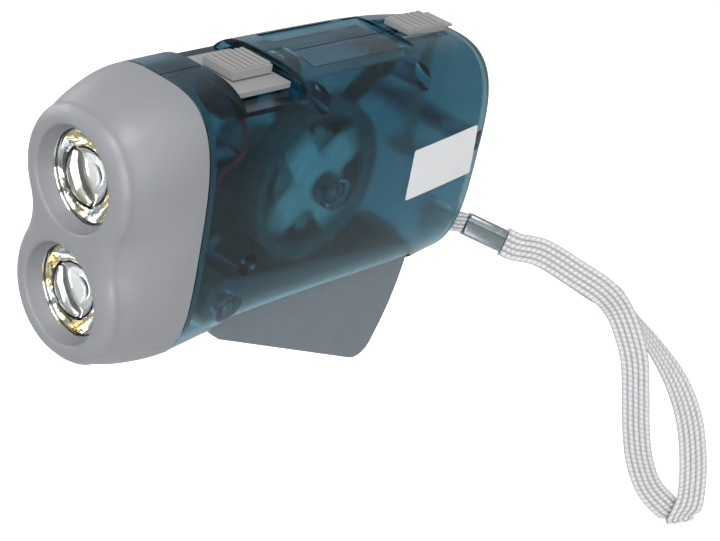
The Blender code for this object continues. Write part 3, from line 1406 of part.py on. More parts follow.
def saw_outline():
    """The one-way teeth of the ratchet: each rises slowly and drops straight."""
    points = []
    for i in range(RATCHET_TEETH):
        start = math.tau * i / RATCHET_TEETH
        middle = start + math.pi / RATCHET_TEETH
        points.append(polar(ORIGIN, RATCHET_RADIUS - RATCHET_TOOTH, start))
        points.append(polar(ORIGIN, RATCHET_RADIUS - RATCHET_TOOTH / 2, middle))
        end = start + math.tau / RATCHET_TEETH - MERGE / RATCHET_RADIUS
        points.append(polar(ORIGIN, RATCHET_RADIUS, end))
    return points


# Flywheel dynamo


def make_flywheel():
    """The flywheel with its four leaning spokes, magnet ring, shaft and pawl ring."""
    facing = (math.pi / 2, 0, 0)
    web_back = 0.0 - FLYWHEEL_WEB
    rim_in = FLYWHEEL_RADIUS - FLYWHEEL_RIM
    bore = SHAFT_RADIUS + GAP
    profile = [
        (bore, FLYWHEEL_COLLAR_DEPTH),
        (FLYWHEEL_COLLAR, FLYWHEEL_COLLAR_DEPTH),
        (FLYWHEEL_COLLAR, 0),
        (FLYWHEEL_HUB, 0),
        (FLYWHEEL_HUB, 0.0 - FLYWHEEL_STEP),
        (rim_in - FLYWHEEL_STEP, 0.0 - FLYWHEEL_STEP),
        (rim_in, 0),
        (FLYWHEEL_RADIUS, 0),
        (FLYWHEEL_RADIUS, 0.0 - FLYWHEEL_RIM_DEPTH),
        (rim_in, 0.0 - FLYWHEEL_RIM_DEPTH),
        (rim_in, web_back),
        (bore, web_back),
    ]
    place = (FLYWHEEL[0], FLYWHEEL_NEAR_Y, FLYWHEEL[1])
    wheel = turned("flywheel", profile, PALE_PLASTIC, place, facing, True, FLYWHEEL_AXIS, FLYWHEEL_STEPS)
    windows = []
    for i in range(SPOKES):
        start = SPOKE_LEAN + math.tau * i / SPOKES
        end = start + math.tau / SPOKES
        outer = rim_in - FLYWHEEL_STEP
        inner = FLYWHEEL_HUB
        lean_out = math.asin(SPOKE_HALF_WIDTH / outer)
        lean_in = math.asin(SPOKE_HALF_WIDTH / inner)
        outline = arc(ORIGIN, outer, start + lean_out, end - lean_out, WINDOW_STEPS)
        outline += arc(ORIGIN, inner, end - lean_in, start + lean_in, 2)
        low_y = FLYWHEEL_NEAR_Y - OVERRUN
        windows.append(plate("window", [outline], low_y, FLYWHEEL_NEAR_Y + FLYWHEEL_WEB + OVERRUN / 2))
    boolean(wheel, add_cutter("spoke_windows", joined("spoke_windows", windows), at(FLYWHEEL)))
    magnet_out = rim_in - GAP
    magnet = [
        (magnet_out - MAGNET_WALL, MAGNET_DEPTH),
        (magnet_out, MAGNET_DEPTH),
        (magnet_out, 0),
        (magnet_out - MAGNET_WALL, 0),
    ]
    magnet_back = (FLYWHEEL[0], FLYWHEEL_NEAR_Y + FLYWHEEL_WEB + GAP + MAGNET_DEPTH, FLYWHEEL[1])
    turned("magnet_ring", magnet, MAGNET, magnet_back, facing, closed=True, carrier=FLYWHEEL_AXIS)
    shaft = rod("flywheel_shaft", SHAFT_RADIUS, SHAFT_NEAR_Y, SHAFT_FAR_Y, sides=HOLE_SIDES)
    add_piece("flywheel_shaft", shaft, STEEL, FLYWHEEL_AXIS, at(FLYWHEEL))
    make_pawl_ring()
    for name, low_y in (("bush_near", BUSH_NEAR_Y), ("bush_far", BUSH_FAR_Y)):
        radii = (BUSH_RADIUS, SHAFT_RADIUS + GAP)
        outlines = [circle(FLYWHEEL, radius, HOLE_SIDES) for radius in radii]
        add_piece(name, plate(name, outlines, low_y, low_y + BUSH_LENGTH), BLACK)


def make_pawl_ring():
    """A cup on the shaft, with three pawls that reach in towards the saw teeth."""
    facing = (0.0 - math.pi / 2, 0, 0)
    bore = SHAFT_RADIUS + GAP
    end_y = RATCHET_TOP_Y + GAP
    wall_in = PAWL_RING - PAWL_RING_WALL
    depth = PAWL_DEPTH
    profile = [
        (bore, PAWL_END),
        (PAWL_RING, PAWL_END),
        (PAWL_RING, 0.0 - depth),
        (wall_in, 0.0 - depth),
        (wall_in, 0),
        (bore, 0),
    ]
    place = (FLYWHEEL[0], end_y, FLYWHEEL[1])
    ring = turned("pawl_ring", profile, NYLON, place, facing, closed=True, carrier=FLYWHEEL_AXIS)
    pawls = []
    for i in range(PAWLS):
        angle = math.tau * i / PAWLS
        inner = RATCHET_RADIUS + GAP
        spread = PAWL_HALF_WIDTH / inner
        outline = arc(ORIGIN, wall_in + PAWL_RING_WALL / 2, angle - spread, angle + spread, 2)
        outline += arc(ORIGIN, inner, angle + spread / 2, angle, 1)
        pawls.append(plate("pawl", [outline], end_y - depth + GAP, end_y + MERGE))
    boolean(ring, add_cutter("pawls", joined("pawls", pawls), at(FLYWHEEL)), "UNION")


def make_claw_cup(name, back_y, way, first_angle):
    """One claw plate: a shallow cup whose wall is cut into fingers."""
    facing = (0.0 - way * math.pi / 2, 0, 0)
    inner = CLAW_RADIUS - CLAW_THICKNESS
    profile = [
        (CLAW_BORE, CLAW_PLATE),
        (inner, CLAW_PLATE),
        (inner, CLAW_PLATE + CLAW_REACH),
        (CLAW_RADIUS, CLAW_PLATE + CLAW_REACH),
        (CLAW_RADIUS, 0),
        (CLAW_BORE, 0),
    ]
    cup = turned(name, profile, STEEL, (FLYWHEEL[0], back_y, FLYWHEEL[1]), facing, closed=True)
    notches = []
    for i in range(CLAWS):
        start = first_angle + math.tau * i / CLAWS + CLAW_HALF_WIDTH / CLAW_RADIUS
        end = first_angle + math.tau * (i + 1) / CLAWS - CLAW_HALF_WIDTH / CLAW_RADIUS
        outline = arc(ORIGIN, CLAW_RADIUS + OVERRUN / 4, start, end, 3)
        outline += arc(ORIGIN, inner - CLAW_THICKNESS, end, start, 3)
        low_y, high_y = sorted((back_y - way * OVERRUN, back_y + way * (CLAW_PLATE + CLAW_REACH + GAP)))
        notches.append(plate("notch", [outline], low_y, high_y))
    boolean(cup, add_cutter(f"{name}_notches", joined("notches", notches), at(FLYWHEEL)))


def make_stator():
    """Claw plates, bobbin and winding on the plate that carries them."""
    make_claw_cup("claw_plate_far", CLAW_FAR_Y, -1, 0)
    make_claw_cup("claw_plate_near", CLAW_NEAR_Y, 1, math.pi / CLAWS)
    facing = (math.pi / 2, 0, 0)
    length = CLAW_PLATE_GAP - 2 * GAP
    flange = BOBBIN_FLANGE
    bobbin = [
        (BOBBIN_BORE, length),
        (BOBBIN_RADIUS, length),
        (BOBBIN_RADIUS, length - flange),
        (WINDING_CORE - GAP, length - flange),
        (WINDING_CORE - GAP, flange),
        (BOBBIN_RADIUS, flange),
        (BOBBIN_RADIUS, 0),
        (BOBBIN_BORE, 0),
    ]
    back_y = CLAW_FAR_Y - CLAW_PLATE - GAP
    place = (FLYWHEEL[0], back_y, FLYWHEEL[1])
    turned("coil_bobbin", bobbin, NYLON, place, facing, closed=True)
    winding = [
        (WINDING_CORE, length - flange - GAP),
        (WINDING_RADIUS, length - flange - GAP),
        (WINDING_RADIUS, flange + GAP),
        (WINDING_CORE, flange + GAP),
    ]
    turned("coil_winding", winding, COPPER, place, facing, closed=True)
    far_y = FRAME_Y + FRAME_THICKNESS
    disc = rod("generator_frame", FRAME_RADIUS, FRAME_Y, far_y, FLYWHEEL, FRAME_SIDES)
    frame = add_piece("generator_frame", disc, PALE_PLASTIC)
    holes = []
    eyes = [(place, SCREW_BOSS + GAP) for place in (SCREWS[0], SCREWS[2], SCREWS[3])]
    eyes.append((DRIVE, AXLE_RADIUS + GAP))
    for i, (place, hole) in enumerate(eyes):
        arm = add_cutter(f"frame_arm_{i}", frame_arm(FLYWHEEL, place))
        boolean(frame, arm, "UNION")
        eye = rod("eye", hole + EYE_WALL, FRAME_Y - MERGE, far_y + MERGE, place, BOSS_SIDES)
        boolean(frame, add_cutter(f"frame_eye_{i}", eye), "UNION")
        holes.append(rod("hole", hole, FRAME_Y - OVERRUN, far_y + OVERRUN, place, HOLE_SIDES))
    holes.append(rod("hole", BUSH_RADIUS, FRAME_Y - OVERRUN, far_y + OVERRUN, FLYWHEEL, HOLE_SIDES))
    boolean(frame, add_cutter("frame_holes", joined("frame_holes", holes)))
    reach = FRAME_RADIUS + OVERRUN
    roof_low = (FACE_X, 0.0 - reach, ROOF_UNDERSIDE_Z - GAP)
    roof = block("roof_clearance", roof_low, (REAR_X, reach, BODY_RISE + OVERRUN))
    boolean(frame, add_cutter("roof_clearance", roof))
    notch_low = (FACE_X, 0.0 - reach, NOTCH_FLOOR_Z - NOTCH_FLOOR - GAP)
    notch = block("notch_clearance", notch_low, (SCREWS[2][0], reach, BODY_RISE + OVERRUN))
    boolean(frame, add_cutter("notch_clearance", notch))


def frame_arm(start, end):
    """A bar in the frame's plane between two places, a little thinner than the frame."""
    first, last = Vector(start), Vector(end)
    along = (last - first).normalized()
    aside = Vector((0.0 - along.y, along.x)) * FRAME_ARM_HALF_WIDTH
    outline = [tuple(first + aside), tuple(first - aside), tuple(last - aside), tuple(last + aside)]
    thinner = FRAME_THICKNESS / 10
    return plate("frame_arm", [outline], FRAME_Y + thinner, FRAME_Y + FRAME_THICKNESS - thinner)


# Power


def make_power():
    """Button cells in their holder, the driver board and the leads."""
    half_width = HOLDER_HALF_WIDTH
    low = (HOLDER_X, 0.0 - half_width, HOLDER_FLOOR_Z)
    high = (HOLDER_X + HOLDER_LENGTH, half_width, HOLDER_FLOOR_Z + HOLDER_HEIGHT)
    tray = add_piece("battery_holder", block("battery_holder", low, high), BLACK)
    wall = HOLDER_WALL
    low = (HOLDER_X + wall, wall - half_width, HOLDER_FLOOR_Z + wall)
    high = (HOLDER_X + HOLDER_LENGTH - wall, half_width - wall, HOLDER_FLOOR_Z + HOLDER_HEIGHT + OVERRUN)
    boolean(tray, add_cutter("holder_room", block("holder_room", low, high)))
    centre = (HOLDER_X + HOLDER_LENGTH / 2, HOLDER_FLOOR_Z + wall + GAP + CELL_RADIUS)
    for i in range(CELLS):
        start = wall - half_width + GAP + i * (CELL_HEIGHT + GAP)
        name = f"battery_cell_{i + 1}"
        cell = add_piece(name, rod(name, CELL_RADIUS, start, start + CELL_HEIGHT, centre, CELL_SIDES), STEEL)
        bevel(cell, CORNER_ROUND / 4, 1)
    driver_x = FACE_X + DRIVER_FROM_FACE
    low = (driver_x, DRIVER_Y, DRIVER_Z)
    high = (driver_x + DRIVER_LENGTH, DRIVER_Y + BOARD_THICKNESS, DRIVER_Z + DRIVER_HEIGHT)
    add_piece("circuit_board", block("circuit_board", low, high), GREEN_BOARD)
    red = tube("red_lead", smooth_route(RED_ROUTE, LEAD_STEP), LEAD_RADIUS)
    add_piece("red_lead", red, RED_SLEEVE)
    black = tube("black_lead", smooth_route(BLACK_ROUTE, LEAD_STEP), LEAD_RADIUS)
    add_piece("black_lead", black, BLACK_SLEEVE)


def make_screws():
    """The four screws that close the housing, each from its head down."""
    for i, place in enumerate(SCREWS):
        name = f"screw_{i + 1}"
        seat = screw_seat(place) + GAP
        top = seat + SCREW_HEAD_DEPTH
        steps = [(0.0 - SCREW_GRIP, SCREW_RADIUS), (seat, SCREW_RADIUS)]
        steps += [(seat, SCREW_HEAD), (top, SCREW_HEAD)]
        add_piece(name, stepped_rod(name, steps, place, HOLE_SIDES), STEEL)


# Strap


def station(point, way, width):
    """A place and a reach across a strip there, as one row of six numbers."""
    return Vector((*point, *(way.normalized() * width / 2)))


def ribbon(name, stations):
    """A flat strip through its stations."""
    shape = bmesh.new()
    rows = []
    for row in stations:
        point, reach = Vector(row[:3]), Vector(row[3:])
        rows.append((shape.verts.new(point - reach), shape.verts.new(point + reach)))
    for near, far in zip(rows, rows[1:]):
        shape.faces.new((near[0], near[1], far[1], far[0]))
    mesh = bpy.data.meshes.new(name)
    shape.to_mesh(mesh)
    shape.free()
    strip = add_piece(name, mesh, WHITE_BRAID)
    skin = strip.modifiers.new("thickness", "SOLIDIFY")
    skin.thickness = STRAP_THICKNESS
    skin.offset = 0
    skin.use_even_offset = True
    return strip


def upright(way, along):
    """A direction made square to another."""
    along = along.normalized()
    return (way - along * way.dot(along)).normalized()


def make_anchor():
    """The strap's pin, the bight of the strap round it and the crimped ferrule."""
    shape = bmesh.new()
    bmesh.ops.create_cone(
        shape,
        cap_ends=True,
        segments=HOLE_SIDES,
        radius1=ANCHOR_RADIUS,
        radius2=ANCHOR_RADIUS,
        depth=2 * ANCHOR_HALF_HEIGHT,
        matrix=Matrix.Translation(ANCHOR),
    )
    add_piece("strap_pin", to_mesh("strap_pin", shape), STEEL)
    start, end = Vector(FERRULE_START), Vector(FERRULE_END)
    ferrule_way = upright(Vector(STRAP_BACK).cross(end - start), end - start)
    neck = start - Vector(ANCHOR)
    along = neck.normalized()
    level = Vector((neck.x, neck.y, 0)).normalized()
    pin_way = Vector((0, 0, -1))
    end_way = upright(ferrule_way, along)
    spread = ANCHOR_RADIUS + GAP + STRAP_THICKNESS / 2
    meeting = (STRAP_THICKNESS + STRAP_LAYER_GAP) / 2
    heading = (end - start).normalized()
    normal = heading.cross(ferrule_way)
    outward = []
    for i in range(1, NECK_STEPS):
        share = i / NECK_STEPS
        way = pin_way.lerp(end_way, share**2).normalized()
        aside = level.cross(way).normalized() * (spread + (meeting - spread) * share)
        outward.append((neck * share, aside, way))
    outward.append((neck - heading * GAP, normal * meeting, ferrule_way))
    stations = [(Vector(ANCHOR) + on + aside, way) for on, aside, way in reversed(outward)]
    across = level.cross(pin_way)
    for i in range(BIGHT_STEPS + 1):
        angle = math.pi * i / BIGHT_STEPS
        offset = across * math.cos(angle) - level * math.sin(angle)
        stations.append((Vector(ANCHOR) + offset * spread, pin_way))
    stations += [(Vector(ANCHOR) + on - aside, way) for on, aside, way in outward]
    ribbon("strap_bight", [station(point, way, NECK_WIDTH) for point, way in stations])
    frame = Matrix((heading, ferrule_way, normal)).transposed().to_4x4()
    size = Matrix.Diagonal(((end - start).length, FERRULE_WIDTH, FERRULE_THICKNESS, 1))
    shape = bmesh.new()
    bmesh.ops.create_cube(shape, size=1.0, matrix=Matrix.Translation((start + end) / 2) @ frame @ size)
    bevel(add_piece("ferrule", to_mesh("ferrule", shape), STEEL), FERRULE_ROUND)


def strap_stations():
    """Rows along the whole strap, from the ferrule down to the fold and back to it."""
    back = Vector(STRAP_BACK)
    heading = (Vector(FERRULE_END) - Vector(FERRULE_START)).normalized()
    start = Vector(FERRULE_END) + heading * GAP
    shared = [start, start + heading * FERRULE_THICKNESS] + [Vector(point) for point in STRAP_SHARED]
    down = [Vector(point) for point in STRAP_DOWN]
    up = [Vector(point) for point in STRAP_UP]
    layer = (STRAP_THICKNESS + STRAP_LAYER_GAP) / 2
    centre = shared + down
    front, rear = [], []
    for i, point in enumerate(shared):
        along = heading if i < 2 else centre[i + 1] - centre[i - 1]
        way = upright(back.cross(along), along)
        normal = upright(back, along)
        front.append((point - normal * layer, way))
        rear.append((point + normal * layer, way))
    fold_way = Vector(STRAP_FOLD_WAY).normalized()
    fold_down = upright(Vector((0, 0, -1)), back)
    fold_down = upright(fold_down, fold_way)
    fold_back = upright(back, fold_way)
    fold = Vector(STRAP_FOLD)
    bend = []
    for i in range(FOLD_STEPS + 1):
        angle = math.pi * i / FOLD_STEPS
        offset = fold_back * math.cos(angle) + fold_down * math.sin(angle)
        bend.append((fold + offset * STRAP_FOLD_RADIUS, fold_way))
    falling = arm_stations(shared[-1:] + down + [fold], [0] * len(down))
    rising = arm_stations([fold] + up + shared[-1:], STRAP_UP_TURNS)
    rows = front + falling + bend + [(point, way * -1) for point, way in rising] + rear[::-1]
    fine = smooth_route([station(point, way, STRAP_WIDTH) for point, way in rows], STRAP_STEP / FOLD_STEPS)
    strip = []
    for i, row in enumerate(fine):
        in_fold = (Vector(row[:3]) - fold).length < 2 * STRAP_FOLD_RADIUS
        if in_fold or i % FOLD_STEPS == 0:
            strip.append(row)
    return strip


def arm_stations(points, turns):
    """Stations at the inner points of one arm, each turned about the arm by its own angle."""
    stations = []
    for before, point, after, turn in zip(points, points[1:], points[2:], turns):
        along = (after - before).normalized()
        way = upright(Vector(STRAP_BACK).cross(along), along)
        stations.append((point, Matrix.Rotation(math.radians(turn), 3, along) @ way))
    return stations


def make_strap():
    """The braided wrist strap: one strip out from the ferrule, round its fold and back."""
    stations = strap_stations()
    places = [Vector(row[:3]) for row in stations]
    length = sum((b - a).length for a, b in zip(places, places[1:]))
    print("strap's length from ferrule to ferrule, mm:", round(length * 1000, 1))
    ribbon("wrist_strap", stations)


make_head()
make_lamps()
CORE, CAP, ROOF, SHARED_CUTTERS = shared_cutters()
make_housing_half("housing_left", -1, CORE, CAP, ROOF, SHARED_CUTTERS)
make_housing_half("housing_right", 1, CORE, CAP, ROOF, SHARED_CUTTERS)
make_switch()
make_lock()
make_lever()
make_return_spring()
make_gears()
make_flywheel()
make_stator()
make_power()
make_screws()
make_anchor()
make_strap()
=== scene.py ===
# %% [markdown]
# # A squeeze torch with a see-through housing
# This lesson dresses a torch that is driven by hand: a squeeze lever turns gears, the gears turn
# a flywheel with magnets, and the current lights two lamps. Its working solids are already made.
# Here every part gets the surface that a buyer would see: frosted plastic, clear tinted plastic,
# chrome, plated steel and a braided strap. Lengths are in metres, and +X runs from lamps to tail.

# %% Load the frame
import json
import math
import bmesh
import bpy
from mathutils import Matrix, Vector

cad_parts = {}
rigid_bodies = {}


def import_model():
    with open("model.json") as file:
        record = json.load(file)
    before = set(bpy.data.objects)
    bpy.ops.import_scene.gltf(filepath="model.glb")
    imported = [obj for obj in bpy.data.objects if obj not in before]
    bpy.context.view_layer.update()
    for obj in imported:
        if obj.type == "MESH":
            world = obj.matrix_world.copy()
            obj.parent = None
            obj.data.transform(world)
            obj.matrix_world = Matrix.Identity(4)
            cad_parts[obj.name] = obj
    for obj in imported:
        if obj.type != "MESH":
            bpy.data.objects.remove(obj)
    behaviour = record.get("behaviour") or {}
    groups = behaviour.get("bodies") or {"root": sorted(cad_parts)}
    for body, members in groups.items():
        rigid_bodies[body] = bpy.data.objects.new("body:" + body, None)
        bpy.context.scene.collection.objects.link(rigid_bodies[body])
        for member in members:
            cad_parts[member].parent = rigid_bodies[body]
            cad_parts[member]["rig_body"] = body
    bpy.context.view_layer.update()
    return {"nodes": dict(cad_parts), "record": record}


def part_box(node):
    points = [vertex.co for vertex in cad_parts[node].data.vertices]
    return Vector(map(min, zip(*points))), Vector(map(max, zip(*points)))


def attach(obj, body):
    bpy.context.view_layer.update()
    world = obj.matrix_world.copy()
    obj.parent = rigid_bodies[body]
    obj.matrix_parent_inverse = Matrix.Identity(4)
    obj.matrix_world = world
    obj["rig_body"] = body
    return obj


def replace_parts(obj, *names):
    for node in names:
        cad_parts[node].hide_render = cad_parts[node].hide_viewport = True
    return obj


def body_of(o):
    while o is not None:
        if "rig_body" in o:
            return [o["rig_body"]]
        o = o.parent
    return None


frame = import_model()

NODES = frame["nodes"]
print("solids in the frame:", len(NODES))

# %% [markdown]
# ## The camera
# The photograph was taken from the front left and from above, with a long lens and with the
# camera tilted a little. A camera can be aimed by a target object, but here its place, its line
# of sight and its tilt are known, so it is placed by them alone.

# %% Camera
EYE = Vector((-0.2170, -0.1835, 0.1355))
LOOK = Vector((0.7085, 0.5199, -0.4772))
TILT = math.radians(12.53)
LENS_MM = 75.0
SENSOR_MM = 36.0
CLIP = (0.01, 20.0)

camera = bpy.data.objects.new("camera", bpy.data.cameras.new("camera"))
bpy.context.scene.collection.objects.link(camera)
camera.data.lens = LENS_MM
camera.data.sensor_width = SENSOR_MM
camera.data.clip_start, camera.data.clip_end = CLIP
camera.rotation_mode = "QUATERNION"
camera.location = EYE
aim = LOOK.to_track_quat("-Z", "Y").to_matrix() @ Matrix.Rotation(TILT, 3, "Z")
camera.rotation_quaternion = aim.to_quaternion()
bpy.context.scene.camera = camera
print("camera looks down by", round(math.degrees(math.asin(-LOOK.z)), 1), "degrees")

# %% [markdown]
# ## Helpers for meshes
# Most pieces here start as rows of points joined into a skin, or as a solid from the frame whose
# edges get rounded. A few short helpers keep that work in one place: one makes a skin from rings,
# one makes a box, and one turns a profile round an axis.

# %% Helpers for meshes
MERGE = 1e-6
SHARP_ANGLE = math.radians(35.0)


def add_piece(name, mesh, material, body):
    """A named piece with its material and the body that it moves with."""
    piece = bpy.data.objects.new(name, mesh)
    bpy.context.scene.collection.objects.link(piece)
    piece.data.materials.clear()
    piece.data.materials.append(material)
    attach(piece, body)
    return piece


def skin(name, rings, closed=True, cap_start=False, cap_end=False):
    """A mesh through rings of equal count, closed round each ring or left open."""
    shape = bmesh.new()
    loops = [[shape.verts.new(point) for point in ring] for ring in rings]
    count = len(loops[0])
    for near, far in zip(loops, loops[1:]):
        for i in range(count if closed else count - 1):
            j = (i + 1) % count
            shape.faces.new((near[i], near[j], far[j], far[i]))
    if cap_start:
        shape.faces.new(loops[0])
    if cap_end:
        shape.faces.new(reversed(loops[-1]))
    return tidy_mesh(name, shape)


def tidy_mesh(name, shape):
    """Turns a bmesh into a mesh that is smooth but for its sharp edges."""
    bmesh.ops.recalc_face_normals(shape, faces=shape.faces)
    mesh = bpy.data.meshes.new(name)
    shape.to_mesh(mesh)
    shape.free()
    mesh.shade_smooth()
    mesh.set_sharp_from_angle(angle=SHARP_ANGLE)
    return mesh


def block(name, low, high):
    """A box between two corners."""
    low, high = Vector(low), Vector(high)
    place = Matrix.Translation((low + high) / 2) @ Matrix.Diagonal((*(high - low), 1))
    shape = bmesh.new()
    bmesh.ops.create_cube(shape, size=1.0, matrix=place)
    return tidy_mesh(name, shape)


def turned(name, profile, place, facing, steps):
    """A profile of (radius, height) swept round an axis. It ends on it or closes on itself."""
    turn = Vector(facing).to_track_quat("Z", "X").to_matrix().to_4x4()
    spot = Matrix.Translation(place) @ turn
    rings = []
    for radius, height in profile:
        ring = []
        for i in range(steps):
            angle = math.tau * i / steps
            ring.append(spot @ Vector((radius * math.cos(angle), radius * math.sin(angle), height)))
        rings.append(ring)
    mesh = skin(name, rings)
    shape = bmesh.new()
    shape.from_mesh(mesh)
    bmesh.ops.remove_doubles(shape, verts=shape.verts, dist=MERGE)
    bpy.data.meshes.remove(mesh)
    return tidy_mesh(name, shape)


print("edges over", round(math.degrees(SHARP_ANGLE)), "degrees stay crisp")

# %% [markdown]
# ## Helpers for carving and rounding
# A cut is a second mesh that is taken away, and a rounded edge is a bevel. Both begin as
# modifiers, which can be stacked. Settling turns the stack into plain faces and deletes the
# helper meshes, so the next step starts from finished geometry.

# %% Helpers for carving and rounding
EDGE_SEGMENTS = 2


def carve(piece, mesh, operation="DIFFERENCE"):
    """Cuts or joins a piece with a helper mesh. The helper is removed by settle."""
    helper = bpy.data.objects.new("helper", mesh)
    bpy.context.scene.collection.objects.link(helper)
    step = piece.modifiers.new("carve", "BOOLEAN")
    step.operation = operation
    step.solver = "EXACT"
    step.object = helper


def round_edges(piece, width):
    """Rounds the sharp edges of a piece."""
    step = piece.modifiers.new("round", "BEVEL")
    step.width = width
    step.segments = EDGE_SEGMENTS
    step.limit_method = "ANGLE"
    step.angle_limit = SHARP_ANGLE
    step.harden_normals = True


def settle(piece):
    """Turns a piece with its modifiers into a plain mesh and deletes the helpers."""
    bpy.context.view_layer.update()
    evaluated = piece.evaluated_get(bpy.context.evaluated_depsgraph_get())
    mesh = bpy.data.meshes.new_from_object(evaluated)
    mesh.name = piece.name
    helpers = {step.object for step in piece.modifiers if step.type == "BOOLEAN"}
    piece.modifiers.clear()
    piece.data = mesh
    for helper in helpers:
        bpy.data.objects.remove(helper)


print("each rounded edge gets", EDGE_SEGMENTS, "facets")

# %% [markdown]
# ## Dressing a solid from the frame
# Many small parts already have their true shape as solids, but their edges are as sharp as
# a drawing's. Moulds and presses never give such edges. This helper copies a solid, clears its
# flat faces of extra edges, rounds what is left, and lets the copy stand for the solid.

# %% Dressing a solid
FLAT = math.radians(1.0)


def slot_of(node):
    """The record's material slot of a node."""
    parts = frame["record"]["subparts"]
    return next(part["material_slot"] for part in parts if part["node"] == node)


def dress(node, material, width):
    """A copy of a node's solid with rounded edges, which then stands for the node."""
    shape = bmesh.new()
    shape.from_mesh(NODES[node].data)
    bmesh.ops.remove_doubles(shape, verts=shape.verts, dist=MERGE)
    bmesh.ops.dissolve_limit(shape, angle_limit=FLAT, verts=shape.verts, edges=shape.edges)
    mesh = tidy_mesh(f"{node}_dressed", shape)
    piece = add_piece(f"{node}_dressed", mesh, material, body_of(NODES[node])[0])
    if width:
        round_edges(piece, width)
        settle(piece)
    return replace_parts(piece, node)


print("material slots in the record:", len({slot_of(node) for node in NODES}))

# %% [markdown]
# ## Helpers for materials
# Every finish here is built from nodes. The base is one shader, and small noise patterns move
# its colour, roughness and bump a little, because no moulded or painted surface is perfectly even.
# Patterns are read from the object's own coordinates, so they stay fixed on the part.

# %% Helpers for materials


class Finish:
    """A material with its main shader, and short ways to add patterns to it."""

    def __init__(self, name, colour, roughness, metallic=0.0, **sockets):
        self.material = bpy.data.materials.new(name)
        self.material.use_nodes = True
        self.nodes = self.material.node_tree.nodes
        self.links = self.material.node_tree.links
        self.shader = self.nodes["Principled BSDF"]
        self.set("Base Color", (*colour, 1.0))
        self.set("Roughness", roughness)
        self.set("Metallic", metallic)
        for socket, value in sockets.items():
            self.set(socket.replace("_", " "), value)
        self.place = self.nodes.new("ShaderNodeTexCoord").outputs["Object"]
        self.height = None

    def set(self, socket, value):
        """Sets one of the main shader's own sockets."""
        self.shader.inputs[socket].default_value = value

    def noise(self, scale, detail=3.0, stretch=None):
        """A noise pattern, stretched along an axis where asked."""
        pattern = self.nodes.new("ShaderNodeTexNoise")
        pattern.inputs["Scale"].default_value = scale
        pattern.inputs["Detail"].default_value = detail
        place = self.place
        if stretch:
            mapping = self.nodes.new("ShaderNodeMapping")
            mapping.inputs["Scale"].default_value = stretch
            self.links.new(place, mapping.inputs["Vector"])
            place = mapping.outputs["Vector"]
        self.links.new(place, pattern.inputs["Vector"])
        return pattern.outputs["Fac"]

    def ranged(self, source, low, high, start=0.35, end=0.65):
        """A pattern's values spread over a range."""
        spread = self.nodes.new("ShaderNodeMapRange")
        spread.inputs["From Min"].default_value = start
        spread.inputs["From Max"].default_value = end
        spread.inputs["To Min"].default_value = low
        spread.inputs["To Max"].default_value = high
        self.links.new(source, spread.inputs["Value"])
        return spread.outputs["Result"]

    def tint(self, source, dark, light):
        """Colours the surface between two shades by a pattern."""
        ramp = self.nodes.new("ShaderNodeValToRGB")
        ramp.color_ramp.elements[0].color = (*dark, 1.0)
        ramp.color_ramp.elements[1].color = (*light, 1.0)
        self.links.new(source, ramp.inputs["Fac"])
        self.links.new(ramp.outputs["Color"], self.shader.inputs["Base Color"])

    def vary_roughness(self, source, low, high):
        """Moves the roughness between two values by a pattern."""
        self.links.new(self.ranged(source, low, high), self.shader.inputs["Roughness"])

    def bump(self, source, strength, distance):
        """Adds a relief on top of any that is there."""
        relief = self.nodes.new("ShaderNodeBump")
        relief.inputs["Strength"].default_value = strength
        relief.inputs["Distance"].default_value = distance
        self.links.new(source, relief.inputs["Height"])
        if self.height:
            self.links.new(self.height, relief.inputs["Normal"])
        self.height = relief.outputs["Normal"]
        self.links.new(self.height, self.shader.inputs["Normal"])


def varied(name, colour, roughness, shades, wear=None, **sockets):
    """A finish whose shade moves between two colours, and whose roughness may move too."""
    finish = Finish(name, colour, roughness, **sockets)
    scale, detail, dark, light = shades
    finish.tint(finish.noise(scale, detail), dark, light)
    if wear:
        scale, low, high = wear
        finish.vary_roughness(finish.noise(scale), low, high)
    return finish


print("materials so far:", len(bpy.data.materials))

# %% [markdown]
# ## The strap's route
# The wrist strap is a flat braid of white yarn. It leaves the ferrule as two layers, parts into
# two arms, and folds at the bottom. Its route is a list of points in space: a shared part, the
# arm that falls and the arm that rises again.

# %% The strap's route
STRAP_WIDTH = 0.0068
STRAP_THICKNESS = 0.0007
STRAP_LAYER_GAP = 0.0004
STRAP_BACK = Vector((0.7085, 0.5199, -0.4772))
STRAP_FOLD_WAY = Vector((-0.693, 0.640, -0.331)).normalized()
STRAP_FOLD = Vector((0.0890, -0.0733, -0.0832))
STRAP_FOLD_RADIUS = 0.0009
FOLD_STEPS = 4
FERRULE_START = Vector((0.0507, -0.0138, -0.0178))
FERRULE_END = Vector((0.0578, -0.0208, -0.0210))
FERRULE_THICKNESS = 0.0030
GAP = 0.0003
STRAP_SHARED = [
    (0.0645, -0.0274, -0.0225),
    (0.0704, -0.0349, -0.0261),
    (0.0750, -0.0408, -0.0294),
]
STRAP_DOWN = [
    (0.0778, -0.0452, -0.0332),
    (0.0793, -0.0488, -0.0385),
    (0.0799, -0.0523, -0.0445),
    (0.0799, -0.0555, -0.0530),
    (0.0804, -0.0583, -0.0618),
    (0.0816, -0.0614, -0.0700),
    (0.0840, -0.0652, -0.0770),
    (0.0874, -0.0698, -0.0815),
]
STRAP_UP = [
    (0.0896, -0.0742, -0.0790),
    (0.0904, -0.0729, -0.0735),
    (0.0905, -0.0702, -0.0655),
    (0.0898, -0.0663, -0.0567),
    (0.0882, -0.0608, -0.0487),
    (0.0858, -0.0538, -0.0419),
    (0.0829, -0.0472, -0.0364),
    (0.0794, -0.0433, -0.0321),
]
# Turn of the flat about the rising arm at each of its points, in degrees
STRAP_UP_TURNS = [0, 0, 0, 8, 25, 45, 55, 28]
